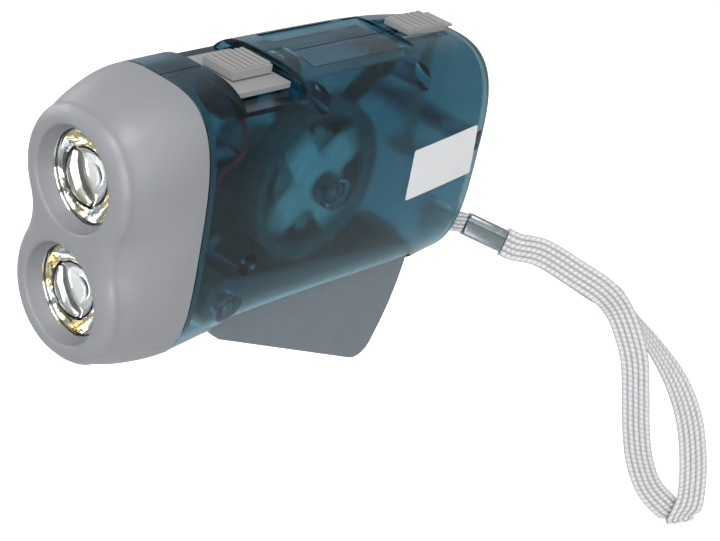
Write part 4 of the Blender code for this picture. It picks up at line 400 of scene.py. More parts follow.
# The layers part as they near the split: multiples of their spacing at the ferrule
STRAP_PARTING = [1.0, 1.0, 1.4, 2.1, 2.5]
print("points on the strap's route:", len(STRAP_SHARED + STRAP_DOWN + STRAP_UP))

# %% [markdown]
# ## A smooth curve through points
# A curve object could join the points, but its rows bunch up where the bends are tight. Here the
# curve is worked out in steps and walked at an even pace. Each row is a place and a reach across,
# held as six numbers, so that place and twist are smoothed together.

# %% Smooth rows
ROUTE_STEPS = 24


def smooth_span(a, b, c, d):
    """The curve from b to c, with knots spaced by the root of each distance."""
    first = math.sqrt((b - a).length)
    second = first + math.sqrt((c - b).length)
    third = second + math.sqrt((d - c).length)
    points = []
    for i in range(ROUTE_STEPS):
        t = first + (second - first) * i / ROUTE_STEPS
        share = (t - first) / (second - first)
        ab, bc = a.lerp(b, t / first), b.lerp(c, share)
        cd = c.lerp(d, (t - second) / (third - second))
        outer = bc.lerp(cd, (t - first) / (third - first))
        points.append(ab.lerp(bc, t / second).lerp(outer, share))
    return points


def smooth_route(points, step):
    """Points at an even step along a smooth curve through a route's own points."""
    route = [Vector(point) for point in points]
    ends = [route[0] * 2 - route[1], *route, route[-1] * 2 - route[-2]]
    fine = []
    for corners in zip(ends, ends[1:], ends[2:], ends[3:]):
        fine += smooth_span(*corners)
    fine.append(route[-1])
    length = sum((b - a).length for a, b in zip(fine, fine[1:]))
    count = max(2, round(length / step))
    places, walked, target = [fine[0]], 0.0, length / count
    for a, b in zip(fine, fine[1:]):
        part = (b - a).length
        while walked + part >= target * len(places) and len(places) < count:
            places.append(a.lerp(b, (target * len(places) - walked) / part))
        walked += part
    places.append(fine[-1])
    return places


def upright(way, along):
    """A direction made square to another."""
    along = along.normalized()
    return (way - along * way.dot(along)).normalized()


def station(point, way, width=STRAP_WIDTH):
    """A place and a reach across a strip there, as one row of six numbers."""
    return Vector((*point, *(way.normalized() * width / 2)))


print("steps between two points:", ROUTE_STEPS)

# %% [markdown]
# ## Rows of the whole strap
# The rows follow the strap as a hand would: along the front layer, down the falling arm, round
# the fold, up the rising arm and back along the rear layer. The rising arm shows more and more
# of its edge, so its rows are turned by an angle at each point.

# %% Rows of the strap


def arm_rows(points, turns):
    """Rows at the inner points of one arm, each turned about the arm by its own angle."""
    rows = []
    for before, point, after, turn in zip(points, points[1:], points[2:], turns):
        along = (after - before).normalized()
        way = upright(STRAP_BACK.cross(along), along)
        rows.append((point, Matrix.Rotation(math.radians(turn), 3, along) @ way))
    return rows


def strap_rows():
    """Rows along the whole strap, from the ferrule down to the fold and back to it."""
    heading = (FERRULE_END - FERRULE_START).normalized()
    start = FERRULE_END + heading * GAP
    shared = [start, start + heading * FERRULE_THICKNESS] + [Vector(p) for p in STRAP_SHARED]
    down = [Vector(point) for point in STRAP_DOWN]
    up = [Vector(point) for point in STRAP_UP]
    layer = (STRAP_THICKNESS + STRAP_LAYER_GAP) / 2
    centre = shared + down
    front, rear = [], []
    for i, (point, parting) in enumerate(zip(shared, STRAP_PARTING)):
        along = heading if i < 2 else centre[i + 1] - centre[i - 1]
        way = upright(STRAP_BACK.cross(along), along)
        apart = upright(STRAP_BACK, along) * layer * parting
        front.append((point - apart, way))
        rear.append((point + apart, way))
    fold_down = upright(upright(Vector((0, 0, -1)), STRAP_BACK), STRAP_FOLD_WAY)
    fold_back = upright(STRAP_BACK, STRAP_FOLD_WAY)
    bend = []
    for i in range(FOLD_STEPS + 1):
        angle = math.pi * i / FOLD_STEPS
        offset = fold_back * math.cos(angle) + fold_down * math.sin(angle)
        bend.append((STRAP_FOLD + offset * STRAP_FOLD_RADIUS, STRAP_FOLD_WAY))
    falling = arm_rows(shared[-1:] + down + [STRAP_FOLD], [0] * len(down))
    rising = arm_rows([STRAP_FOLD] + up + shared[-1:], STRAP_UP_TURNS)
    rows = front + falling + bend + [(point, way * -1) for point, way in rising] + rear[::-1]
    return [station(point, way) for point, way in rows]


print("rows before smoothing:", len(strap_rows()))

# %% [markdown]
# ## The braid
# Seen close, the strap has five cords side by side, each plaited, so its light falls in rows of
# small beads. A picture of a braid would look flat at the edges. Here the beads are real relief:
# each row of the mesh rises and sinks by a wave along the strap and a wave across it.

# %% The braid
BRAID_CORDS = 5
BEAD_PITCH = 0.00130
BEAD_SLANT = 0.5
BEAD_HEIGHT = 0.00042
BEAD_ROWS = 6
CORD_POINTS = 6
BRAID_FLOOR_SHARE = 0.25
RIDGE_POWER = 0.7
PULSE_POWER = 0.6
EDGE_POWER = 6
EDGE_SHARE = 0.35


def bead(across, along):
    """The relief of the braid, from 0 to 1, across the strap (0 to 1) and along it."""
    cord = across * BRAID_CORDS
    index = min(BRAID_CORDS - 1, int(cord))
    ridge = math.sin(math.pi * (cord - index)) ** RIDGE_POWER if 0 < cord - index < 1 else 0.0
    phase = along / BEAD_PITCH + 0.5 * (index % 2) + BEAD_SLANT * (cord - index)
    pulse = abs(math.cos(math.pi * phase)) ** PULSE_POWER
    return ridge * (BRAID_FLOOR_SHARE + (1 - BRAID_FLOOR_SHARE) * pulse)


def braid_mesh(name, stations):
    """A flat braid along a strip's stations, with beads on both of its sides."""
    rows = smooth_route(stations, BEAD_PITCH / BEAD_ROWS)
    points = BRAID_CORDS * CORD_POINTS
    rings, heights, walked = [], [], 0.0
    for i, row in enumerate(rows):
        place, reach = Vector(row[:3]), Vector(row[3:])
        before, after = rows[max(0, i - 1)], rows[min(len(rows) - 1, i + 1)]
        along = Vector(after[:3]) - Vector(before[:3])
        if i:
            walked += (place - Vector(rows[i - 1][:3])).length
        normal = reach.cross(along).normalized()
        ring = []
        for side in (1, -1):
            for j in range(points + 1):
                across = j / points if side > 0 else 1 - j / points
                edge = 1 - abs(2 * across - 1) ** EDGE_POWER
                half = STRAP_THICKNESS / 2 * (EDGE_SHARE + (1 - EDGE_SHARE) * edge)
                height = bead(across, walked)
                heights.append(height)
                lift = half + (height - 0.5) * BEAD_HEIGHT * edge
                ring.append(place + reach * (2 * across - 1) + normal * side * lift)
        rings.append(ring)
    mesh = skin(name, rings, cap_start=True, cap_end=True)
    mesh.attributes.new("bead", "FLOAT", "POINT").data.foreach_set("value", heights)
    return mesh


print("beads, mm:", BEAD_PITCH * 1000, "apart in", BRAID_CORDS, "cords")

# %% [markdown]
# ## White yarn
# The braid's colour is painted darker between the beads, as painted shade, and lighter on their
# crests. The mesh keeps the height of each bead as an attribute, and the material reads it, so
# painted shade and relief agree. Fine noise stands for loose fibres.

# %% White yarn and the strap
YARN_FIBRE_SHARE = 0.45
YARN_RANGE = (0.15, 1.3)
YARN_SHADE = (0.26, 0.27, 0.28)
YARN_CREST = (0.70, 0.70, 0.70)

WHITE_YARN = Finish("white_braided_yarn", (0.46, 0.46, 0.46), 0.5, Sheen_Weight=0.2)
relief = WHITE_YARN.nodes.new("ShaderNodeAttribute")
relief.attribute_name = "bead"
# Painted shade: the bead height darkens the grooves and lightens the crests, with fibre noise mixed in
groove_shade_and_fibres = WHITE_YARN.nodes.new("ShaderNodeMath")
groove_shade_and_fibres.operation = "MULTIPLY_ADD"
groove_shade_and_fibres.inputs[1].default_value = YARN_FIBRE_SHARE
WHITE_YARN.links.new(WHITE_YARN.noise(900.0, 4.0), groove_shade_and_fibres.inputs[0])
WHITE_YARN.links.new(relief.outputs["Fac"], groove_shade_and_fibres.inputs[2])
painted_groove_shade = WHITE_YARN.ranged(groove_shade_and_fibres.outputs["Value"], 0.0, 1.0, *YARN_RANGE)
WHITE_YARN.tint(painted_groove_shade, YARN_SHADE, YARN_CREST)
WHITE_YARN.vary_roughness(WHITE_YARN.noise(1500.0), 0.4, 0.62)
WHITE_YARN.bump(WHITE_YARN.noise(5200.0, 2.0), 0.35, 0.0001)

strap_mesh = braid_mesh("strap_braid", strap_rows())
strap = add_piece("strap_braid", strap_mesh, WHITE_YARN.material, "housing")
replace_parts(strap, "wrist_strap")
STRAP_PATH = [Vector(row[:3]) for row in smooth_route(strap_rows(), BEAD_PITCH)]
STRAP_LENGTH = sum((b - a).length for a, b in zip(STRAP_PATH, STRAP_PATH[1:]))
print("strap, mm:", round(STRAP_LENGTH * 1000, 1), "with", len(strap.data.polygons), "faces")

# %% [markdown]
# ## The loop round the pin
# Inside the tail the strap's two ends pass round a steel pin. Only a short neck of it shows
# between the housing and the ferrule. It is the same braid, narrower, and it turns from upright
# at the pin to the ferrule's own slant.

# %% The loop round the pin
PIN_LOW, PIN_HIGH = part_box("strap_pin")
ANCHOR = (PIN_LOW + PIN_HIGH) / 2
PIN_RADIUS = (PIN_HIGH.x - PIN_LOW.x) / 2
NECK_WIDTH = 0.0046
NECK_STEPS = 5
BIGHT_STEPS = 8


def bight_stations():
    """Stations from the ferrule round the pin and back to the ferrule."""
    heading = (FERRULE_END - FERRULE_START).normalized()
    ferrule_way = upright(STRAP_BACK.cross(heading), heading)
    neck = FERRULE_START - ANCHOR
    level = Vector((neck.x, neck.y, 0)).normalized()
    pin_way = Vector((0, 0, -1))
    end_way = upright(ferrule_way, neck)
    spread = PIN_RADIUS + GAP + STRAP_THICKNESS / 2
    meeting = (STRAP_THICKNESS + STRAP_LAYER_GAP) / 2
    outward = []
    for i in range(1, NECK_STEPS):
        share = i / NECK_STEPS
        way = pin_way.lerp(end_way, share**2).normalized()
        aside = level.cross(way).normalized() * (spread + (meeting - spread) * share)
        outward.append((neck * share, aside, way))
    outward.append((neck - heading * GAP, heading.cross(ferrule_way) * meeting, ferrule_way))
    stations = [(ANCHOR + on + aside, way) for on, aside, way in reversed(outward)]
    across = level.cross(pin_way)
    for i in range(BIGHT_STEPS + 1):
        angle = math.pi * i / BIGHT_STEPS
        offset = across * math.cos(angle) - level * math.sin(angle)
        stations.append((ANCHOR + offset * spread, pin_way))
    stations += [(ANCHOR + on - aside, way) for on, aside, way in outward]
    return [station(point, way, NECK_WIDTH) for point, way in stations]


bight_mesh = braid_mesh("strap_loop_braid", bight_stations())
bight = add_piece("strap_loop_braid", bight_mesh, WHITE_YARN.material, "housing")
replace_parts(bight, "strap_bight")
print("faces of the loop:", len(bight.data.polygons))

# %% [markdown]
# ## The section of the body
# The housing's section is a soft-cornered oval: a power curve whose exponent sets how square
# it is. The same formula with small changes along the body gives its slight taper and swell.
# The sizes come from the frame, so the dressed shell lies on the solid one.

# %% The section of the body
SQUARENESS_SHARE = 3.4
BODY_MID_Z = 0.0018
BODY_RISE = 0.0280
BODY_DROP = 0.0268
REAR_DOME = 0.0066
DOME_POWER_SHARE = 0.35
WALL = 0.0016
HALF_GAP = GAP / 2
OVERRUN = 0.0040
FACE_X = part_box("head_shell")[0].x
HEAD_DEPTH = 0.0180
SEAM_X = FACE_X + HEAD_DEPTH
BODY_LENGTH = 0.1062
REAR_X = FACE_X + BODY_LENGTH
HALF_WIDTH = -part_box("housing_left")[0].y
# Along the housing: place, half width, rise and drop, as shares of the sizes above
HOUSING_SHARES = [
    (0.0, 0.975, 0.985, 0.985),
    (0.10, 0.985, 0.993, 0.98),
    (0.30, 1.0, 1.0, 0.985),
    (0.55, 1.0, 1.0, 1.01),
    (0.74, 1.0, 0.995, 1.035),
    (0.86, 0.99, 0.975, 1.045),
    (1.0, 0.97, 0.925, 1.0),
]
# The body hangs a little lower by the seam, and this belly fades out along its length
BELLY = 0.0024
BELLY_LENGTH = 0.032
EVEN_REACH = 0.004
EVEN_STEPS = 3


def body_size(x):
    """Half width, rise and drop of the housing at one place along X."""
    share = min(1.0, max(0.0, (x - SEAM_X) / (REAR_X - REAR_DOME - SEAM_X)))
    for (a, *low), (b, *high) in zip(HOUSING_SHARES, HOUSING_SHARES[1:]):
        if share <= b:
            part = (share - a) / (b - a)
            width, rise, drop = (p + (q - p) * part for p, q in zip(low, high))
            belly = BELLY * max(0.0, 1 - max(0.0, x - SEAM_X) / BELLY_LENGTH) ** 2
            return width * HALF_WIDTH, rise * BODY_RISE, drop * BODY_DROP + belly


def smooth_size(x):
    """The body's size at a place, evened out over its neighbours so that no line shows."""
    places = [x + EVEN_REACH * i / EVEN_STEPS for i in range(-EVEN_STEPS, EVEN_STEPS + 1)]
    sizes = [body_size(place) for place in places]
    return [sum(values) / len(values) for values in zip(*sizes)]


print("body from", round(SEAM_X * 1000, 1), "to", round(REAR_X * 1000, 1), "mm")

# %% [markdown]
# ## Rings of the body
# The shell is a stack of such sections. They stand evenly along the straight part and closer
# together over the rear dome, where each one is a little smaller than the last.

# %% Rings of the body
RING_POINTS = 128
BODY_STATIONS = 36
DOME_STEPS = 14
DOME_END = math.radians(88.0)


def section(x, size):
    """A ring of the rounded section."""
    width, rise, drop = size
    ring = []
    for i in range(RING_POINTS):
        angle = math.tau * i / RING_POINTS
        cos, sin = math.cos(angle), math.sin(angle)
        across = math.copysign(abs(cos) ** (2 / SQUARENESS_SHARE), cos)
        up = math.copysign(abs(sin) ** (2 / SQUARENESS_SHARE), sin)
        height = rise if sin >= 0 else drop
        ring.append(Vector((x, width * across, BODY_MID_Z + height * up)))
    return ring


def body_rings(inset=0.0):
    """Rings from the seam to the middle of the rear dome."""
    dome_x = REAR_X - REAR_DOME
    start_x = SEAM_X + GAP
    rings = []
    for i in range(BODY_STATIONS + 1):
        x = start_x + (dome_x - start_x) * i / BODY_STATIONS
        rings.append(section(x, [value - inset for value in smooth_size(x)]))
    last = smooth_size(dome_x)
    for i in range(1, DOME_STEPS + 1):
        angle = DOME_END * i / DOME_STEPS
        scale = math.cos(angle) ** DOME_POWER_SHARE
        x = dome_x + (REAR_DOME - inset) * math.sin(angle)
        rings.append(section(x, [value * scale - inset for value in last]))
    return rings


print("rings of the body:", len(body_rings()))

# %% [markdown]
# ## The clear housing
# The housing is moulded in two halves that meet along the middle. The mould is polished, so the
# walls are clear, tinted through the whole thickness. On top of that, the colour is painted darker
# from the near side to the far side, as painted shade for light lost through both walls and the
# works between them, with a little cloud in it.

# %% Clear housing finish
CLOUD_DEPTH = 0.005
TINT_REACH = 0.015
NEAR_TEAL = (0.22, 0.475, 0.565)
FAR_TEAL_PAINTED_SHADE = (0.10, 0.31, 0.415)
TEAL = Finish("clear_teal_plastic", (0.18, 0.43, 0.50), 0.16, Transmission_Weight=1.0, IOR=1.33)
across = TEAL.nodes.new("ShaderNodeSeparateXYZ")
TEAL.links.new(TEAL.place, across.inputs[0])
cloudy = TEAL.nodes.new("ShaderNodeMath")
cloudy.operation = "MULTIPLY_ADD"
cloudy.inputs[1].default_value = CLOUD_DEPTH
TEAL.links.new(TEAL.noise(60.0, 2.0), cloudy.inputs[0])
TEAL.links.new(across.outputs["Y"], cloudy.inputs[2])
# Painted shade: the colour darkens with Y, from the near side to the far side
depth = TEAL.ranged(cloudy.outputs["Value"], 0.0, 1.0, -TINT_REACH, TINT_REACH)
TEAL.tint(depth, NEAR_TEAL, FAR_TEAL_PAINTED_SHADE)
TEAL.vary_roughness(TEAL.noise(220.0), 0.13, 0.20)
TEAL.bump(TEAL.noise(900.0, 2.0), 0.04, 0.0002)
print("nodes in the clear finish:", len(TEAL.nodes))

# %% [markdown]
# ## Helpers for cutters
# A cutter is a plain mesh that is joined to a shell or taken from it. Outlines in the side view
# become plates across the body, and round bosses and holes become cylinders. A boss must not
# stand out of the curved wall, so it is first trimmed to the body's own form.

# %% Helpers for cutters
BOSS_SIDES = 48


def prism(name, outline, low_y, high_y):
    """A plate across Y from an outline in the XZ plane."""
    rings = [[(x, y, z) for x, z in outline] for y in (low_y, high_y)]
    return skin(name, rings, cap_start=True, cap_end=True)


def disc(name, radius, low_y, high_y, centre):
    """A cylinder along Y."""
    outline = []
    for i in range(BOSS_SIDES):
        angle = math.tau * i / BOSS_SIDES
        outline.append((centre[0] + radius * math.cos(angle), centre[1] + radius * math.sin(angle)))
    return prism(name, outline, low_y, high_y)


def joined(name, meshes):
    """Several meshes as one."""
    shape = bmesh.new()
    for mesh in meshes:
        shape.from_mesh(mesh)
        bpy.data.meshes.remove(mesh)
    return tidy_mesh(name, shape)


def shared_part(mesh, other):
    """What two meshes have in common, as a mesh."""
    piece = bpy.data.objects.new("shared", mesh)
    bpy.context.scene.collection.objects.link(piece)
    carve(piece, other, "INTERSECT")
    settle(piece)
    result = piece.data
    bpy.data.objects.remove(piece)
    return result


def body_core():
    """The body's form drawn in by half a wall, as a closed mesh."""
    return skin("core", body_rings(WALL / 2), cap_start=True, cap_end=True)


print("sides of a round boss:", BOSS_SIDES)

# %% [markdown]
# ## The shapes cut into the crown and the sides
# Both halves share the same cuts: a notch for the switch, a sunk panel, a track for the lock
# slider and the opening for the lever. Each is a plain block or outline that is taken away, so
# it can be changed by its numbers. Their sizes are those of the solid housing.

# %% Shared cuts
NOTCH_X = FACE_X + 0.0285
HUMP_X = NOTCH_X + 0.0162
NOTCH_FLOOR_Z = 0.0256
PANEL_X, PANEL_END_X = FACE_X + 0.0506, FACE_X + 0.0810
PANEL_HALF_WIDTH, PANEL_FLOOR_Z = 0.0083, 0.0287
ROOF_UNDERSIDE_Z = 0.0269
ROOF_END_X = FACE_X + 0.0920
TRACK_X, TRACK_END_X = PANEL_END_X + GAP, PANEL_END_X + GAP + 0.0200
TRACK_HALF_WIDTH, TRACK_FLOOR_Z = 0.0046, 0.0281
PIVOT = (-0.0270, -0.0165)
LEVER_HALF_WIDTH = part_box("lever")[1].y
LEVER_ROOM = LEVER_HALF_WIDTH + GAP
EAR_ROOM = 0.0053
SLOT_OUTLINE = [
    (-0.0299, -0.0320),
    (-0.0299, -0.0209),
    (-0.0244, -0.0192),
    (0.0305, -0.0203),
    (0.0339, -0.0225),
    (0.0339, -0.0320),
]
HEEL_X, HEEL_END_X = 0.0280, 0.0336
HEEL_FLOOR_Z, HEEL_ROOF_Z = -0.0223, -0.0185
SWITCH_SLOT_X, SWITCH_SLOT_END_X = -0.0242, -0.0180
SWITCH_SLOT_HALF_WIDTH, SWITCH_SLOT_FLOOR_Z = 0.0016, 0.0216
NECK_SLOT_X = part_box("lock_slider")[0].x - 0.0022
NECK_SLOT_END_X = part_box("lock_slider")[0].x + 0.0039
NECK_SLOT_HALF_WIDTH, NECK_SLOT_FLOOR_Z = 0.0014, 0.0229
WIDE = HALF_WIDTH + OVERRUN
HIGH = BODY_RISE + OVERRUN


def from_above(name, start_x, end_x, half_width, floor_z):
    """A cutter that sinks into the crown down to a floor."""
    return block(name, (start_x, -half_width, floor_z), (end_x, half_width, HIGH))


def shared_cuts():
    """Meshes of the cuts that both halves of the housing share."""
    return [
        from_above("notch", NOTCH_X, HUMP_X, WIDE, NOTCH_FLOOR_Z),
        block("heel", (HEEL_X, -LEVER_ROOM, HEEL_FLOOR_Z), (HEEL_END_X, LEVER_ROOM, HEEL_ROOF_Z)),
        from_above("panel", PANEL_X, PANEL_END_X, PANEL_HALF_WIDTH, PANEL_FLOOR_Z),
        from_above("track", TRACK_X, TRACK_END_X, TRACK_HALF_WIDTH, TRACK_FLOOR_Z),
        prism("lever_opening", SLOT_OUTLINE, -WIDE, WIDE),
        disc("ear_room", EAR_ROOM, -LEVER_ROOM, LEVER_ROOM, PIVOT),
        from_above(
            "switch_slot", SWITCH_SLOT_X, SWITCH_SLOT_END_X, SWITCH_SLOT_HALF_WIDTH, SWITCH_SLOT_FLOOR_Z
        ),
        from_above("neck_slot", NECK_SLOT_X, NECK_SLOT_END_X, NECK_SLOT_HALF_WIDTH, NECK_SLOT_FLOOR_Z),
    ]


print("track for the lock, mm:", round((TRACK_END_X - TRACK_X) * 1000, 1), "long")

# %% [markdown]
# ## Bosses and holes
# Round bosses stand inward from each half for the screws, the lever's pin and the flywheel's
# bearings. They show through the wall as rings, as in the photograph. The screws go in from the
# far side, so that half has the wider bosses, with sunk seats for the heads.

# %% Bosses and holes
SCREWS = [(-0.0254, -0.0063), (0.0436, 0.0060), (-0.0090, 0.0240), (0.0220, 0.0235)]
FLYWHEEL_PLACE = (-0.0024, 0.0036)
DRIVE_PLACE = (0.0143743, 0.0026711)
# Radius of the screws' bosses and Y of the flywheel's bush, on the near side and the far side
SCREW_BOSS = {-1: 0.0024, 1: 0.0028}
BUSH_Y = {-1: 0.0121, 1: 0.0109}
PIVOT_BOSS, BUSH_BOSS = 0.0032, 0.0036
DRIVE_BOSS, DRIVE_BOSS_Y = 0.0026, 0.0084
SCREW_HOLE, SCREW_TIP_Y = 0.0014, -0.0063
HEAD_HOLE, HEAD_HEIGHT = 0.0022, 0.0012
PIN_HOLE, PIN_END_Y = 0.0018, 0.0139
BUSH_HOLE, BUSH_HOLE_FRONT, BUSH_HOLE_BACK = 0.0027, 0.0010, 0.0027
AXLE_HOLE, AXLE_Y, AXLE_END_Y = 0.0013, 0.0060, 0.0127


def boss_meshes(side):
    """The round bosses of one half."""
    ends = [(place, SCREW_BOSS[side], 0.0) for place in SCREWS]
    ends.append((PIVOT, PIVOT_BOSS, LEVER_HALF_WIDTH))
    ends.append((FLYWHEEL_PLACE, BUSH_BOSS, BUSH_Y[side]))
    if side > 0:
        ends.append((DRIVE_PLACE, DRIVE_BOSS, DRIVE_BOSS_Y))
    meshes = []
    for centre, radius, end in ends:
        low, high = sorted((side * WIDE, side * end))
        meshes.append(disc("boss", radius, low, high, centre))
    return meshes


def hole_meshes(side):
    """The holes in one half's bosses."""
    meshes = []
    for i, place in enumerate(SCREWS):
        if side < 0:
            meshes.append(disc("hole", SCREW_HOLE, SCREW_TIP_Y, OVERRUN, place))
            continue
        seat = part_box(f"screw_{i + 1}")[1].y - HEAD_HEIGHT - GAP
        meshes.append(disc("hole", SCREW_HOLE, -OVERRUN, seat, place))
        meshes.append(disc("head_hole", HEAD_HOLE, seat - MERGE, WIDE, place))
    low, high = sorted((0.0, side * PIN_END_Y))
    meshes.append(disc("pin_hole", PIN_HOLE, low, high, PIVOT))
    end = BUSH_Y[side]
    low, high = sorted((side * (end - BUSH_HOLE_FRONT), side * (end + BUSH_HOLE_BACK)))
    meshes.append(disc("bush_hole", BUSH_HOLE, low, high, FLYWHEEL_PLACE))
    if side > 0:
        meshes.append(disc("axle_hole", AXLE_HOLE, AXLE_Y, AXLE_END_Y, DRIVE_PLACE))
    return meshes


print("screws in the housing:", len(SCREWS))

# %% [markdown]
# ## The two clear halves
# Each half is a thin shell. Its cap and roof under the crown and its bosses are joined to the
# wall first, and all cuts are made afterwards, so no cut leaves a loose skin. The strap leaves
# through a slot in the rear of the near half.

# %% Clear halves
DOOR_HALF_WIDTH, DOOR_HALF_HEIGHT = 0.0022, 0.0032


def strap_door():
    """The slot through the rear wall, in line with the strap's neck."""
    way = FERRULE_START - ANCHOR
    place = Matrix.Translation(ANCHOR) @ Matrix.Rotation(math.atan2(way.y, way.x), 4, "Z")
    high = (way.length + OVERRUN, DOOR_HALF_WIDTH, DOOR_HALF_HEIGHT)
    mesh = block("strap_slot", (0, -DOOR_HALF_WIDTH, -DOOR_HALF_HEIGHT), high)
    mesh.transform(place)
    return mesh


def make_half(name, side):
    """One clear half of the housing."""
    mesh = skin(name, body_rings(), cap_end=True)
    half = add_piece(f"{name}_clear", mesh, TEAL.material, "housing")
    wall = half.modifiers.new("wall", "SOLIDIFY")
    wall.thickness = WALL
    wall.offset = -1
    wall.use_even_offset = True
    low = (NOTCH_X - WALL, -WIDE, NOTCH_FLOOR_Z - WALL)
    carve(half, shared_part(block("cap", low, (HUMP_X + WALL, WIDE, HIGH)), body_core()), "UNION")
    low = (HUMP_X + WALL + GAP, -WIDE, ROOF_UNDERSIDE_Z)
    carve(half, shared_part(block("roof", low, (ROOF_END_X, WIDE, HIGH)), body_core()), "UNION")
    carve(half, shared_part(joined("bosses", boss_meshes(side)), body_core()), "UNION")
    low_y, high_y = sorted((side * HALF_GAP, side * WIDE))
    low = (SEAM_X - OVERRUN, low_y, -HIGH - OVERRUN)
    carve(half, block("half_space", low, (REAR_X + OVERRUN, high_y, HIGH)), "INTERSECT")
    for cut in shared_cuts():
        carve(half, cut)
    for hole in hole_meshes(side):
        carve(half, hole)
    if side < 0:
        carve(half, strap_door())
    settle(half)
    half.data.shade_smooth()
    half.data.set_sharp_from_angle(angle=SHARP_ANGLE)
    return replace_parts(half, name)


near_half = make_half("housing_left", -1)
far_half = make_half("housing_right", 1)
print("faces of the two halves:", len(near_half.data.polygons), len(far_half.data.polygons))

# %% [markdown]
# ## The form of the lamp head
# The head is one moulding in frosted grey. Its front is a figure of eight that blends into the
# body's soft rectangle, so its skin is a stack of rings that change from one form to the other.
# The lobes swell out at once, and the hollow between them fades more slowly.

# %% Form of the head
LOBE_SPACING = 0.0239
LOBE_RADIUS = 0.0134
WAIST_HALF_WIDTH = 0.0102
TOP_SHARE = 0.93
EDGE_ROUND = 0.0022
GROWTH_SHARE = 0.8
TOP_GROWTH_SHARE = 1.25
HOLLOW_SHARE = 1.6
LOBE_STEPS = 36
WAIST_STEPS = 12
HEAD_SHARES = [i / 40 for i in range(6, 41)]
VALLEY = 0.00018
VALLEY_SHARE = 0.36
ROUND_STEPS = 6
SKIRT = 0.0030


def face_outline():
    """The right half of the face, from its top to its bottom, as (y, z, hollow)."""
    half = LOBE_SPACING / 2
    lean = LOBE_RADIUS - WAIST_HALF_WIDTH
    waist_radius = (WAIST_HALF_WIDTH**2 + half**2 - LOBE_RADIUS**2) / (2 * lean)
    join = math.atan2(half, WAIST_HALF_WIDTH + waist_radius)
    upper = []
    for i in range(LOBE_STEPS + 1):
        angle = math.pi / 2 - (math.pi / 2 + join) * i / LOBE_STEPS
        upper.append((LOBE_RADIUS * math.cos(angle), half + LOBE_RADIUS * math.sin(angle)))
    for i in range(1, WAIST_STEPS + 1):
        angle = math.pi - join + join * i / WAIST_STEPS
        upper.append((
            WAIST_HALF_WIDTH + waist_radius + waist_radius * math.cos(angle),
            waist_radius * math.sin(angle),
        ))
    side = [(y, z, 0.0 if z >= half else LOBE_RADIUS - y) for y, z in upper]
    return side + [(y, -z, hollow) for y, z, hollow in reversed(side[:-1])]


def head_ring(share, inset=0.0, x=None):
    """A ring of the head between the face and the body's section."""
    width, rise, drop = body_size(SEAM_X)
    top = LOBE_SPACING / 2 + LOBE_RADIUS
    grown = math.sin(math.pi / 2 * share) ** GROWTH_SHARE
    kept = (1 - share) ** HOLLOW_SHARE
    half_ring = []
    for y, z, hollow in face_outline():
        level = z / top
        seam_z = BODY_MID_Z + level * (rise if level >= 0 else drop)
        seam_y = width * max(0.0, 1 - abs(level) ** SQUARENESS_SHARE) ** (1 / SQUARENESS_SHARE)
        full_y = y + hollow
        side_y = full_y + (seam_y - full_y) * grown - hollow * kept
        half = LOBE_SPACING / 2
        face_z = half + (z - half) * TOP_SHARE if z > half else z
        risen = math.sin(math.pi / 2 * share) ** TOP_GROWTH_SHARE if z > 0 else grown
        half_ring.append((side_y, face_z + (seam_z - face_z) * risen))
    half_ring[0] = (0.0, half_ring[0][1])
    half_ring[-1] = (0.0, half_ring[-1][1])
    flat = half_ring + [(-y, z) for y, z in reversed(half_ring[1:-1])]
    place = FACE_X + share * HEAD_DEPTH if x is None else x
    return [(place, y, z) for y, z in drawn_in(flat, inset)]


def drawn_in(outline, inset):
    """An outline moved inwards by an even distance."""
    count = len(outline)
    points = []
    for i in range(count):
        before, after = Vector(outline[i - 1]), Vector(outline[(i + 1) % count])
        along = (after - before).normalized()
        points.append(tuple(Vector(outline[i]) + Vector((along.y, -along.x)) * inset))
    return points


def head_rings():
    """The head's skin, from its rounded face to its skirt inside the housing."""
    rings = []
    for i in range(ROUND_STEPS + 1):
        angle = math.pi / 2 * i / ROUND_STEPS
        depth = EDGE_ROUND * (1 - math.cos(angle))
        inset = EDGE_ROUND * (1 - math.sin(angle))
        rings.append(head_ring(depth / HEAD_DEPTH, inset))
    for share in HEAD_SHARES:
        valley = VALLEY * math.sin(math.pi * min(1.0, share / VALLEY_SHARE)) ** 2
        rings.append(head_ring(share, valley))
    rings.append(head_ring(1.0, WALL + GAP))
    rings.append(head_ring(1.0, WALL + GAP, SEAM_X + SKIRT))
    return rings


print("rings of the head:", len(head_rings()))

# %% [markdown]
# ## The lamp head
# The finished head is that skin with a hollow behind and two wells in front. The wells are turned
# cutters with flared mouths, which leave rounded lips. Its plastic has a fine grain from the
# mould, a satin coat and a shade that hardly moves.

# %% Lamp head
HEAD_WALL = 0.0020
SKIRT_WALL = 0.0012
HOLLOW_DEPTH = 0.0070
HOLLOW_END_SHARE, SKIRT_START_SHARE = 0.78, 0.89
APERTURE = 0.0090
MOUTH = 0.0100
WELL_DEPTH = 0.0033
WELL_ROOM = 0.0099
WELL_END = 0.0110
LIP_ROUND = 0.0009
LIP_REACH = MOUTH + LIP_ROUND * 3
WELL_SIDES = 96

silver_shades = (90.0, 4.0, (0.225, 0.232, 0.243), (0.262, 0.268, 0.278))
SILVER = varied(
    "frosted_silver_plastic",
    (0.24, 0.245, 0.255),
    0.42,
    silver_shades,
    (300.0, 0.34, 0.5),
    Coat_Weight=0.15,
    Coat_Roughness=0.3,
)
SILVER.bump(SILVER.noise(4200.0), 0.25, 0.00006)


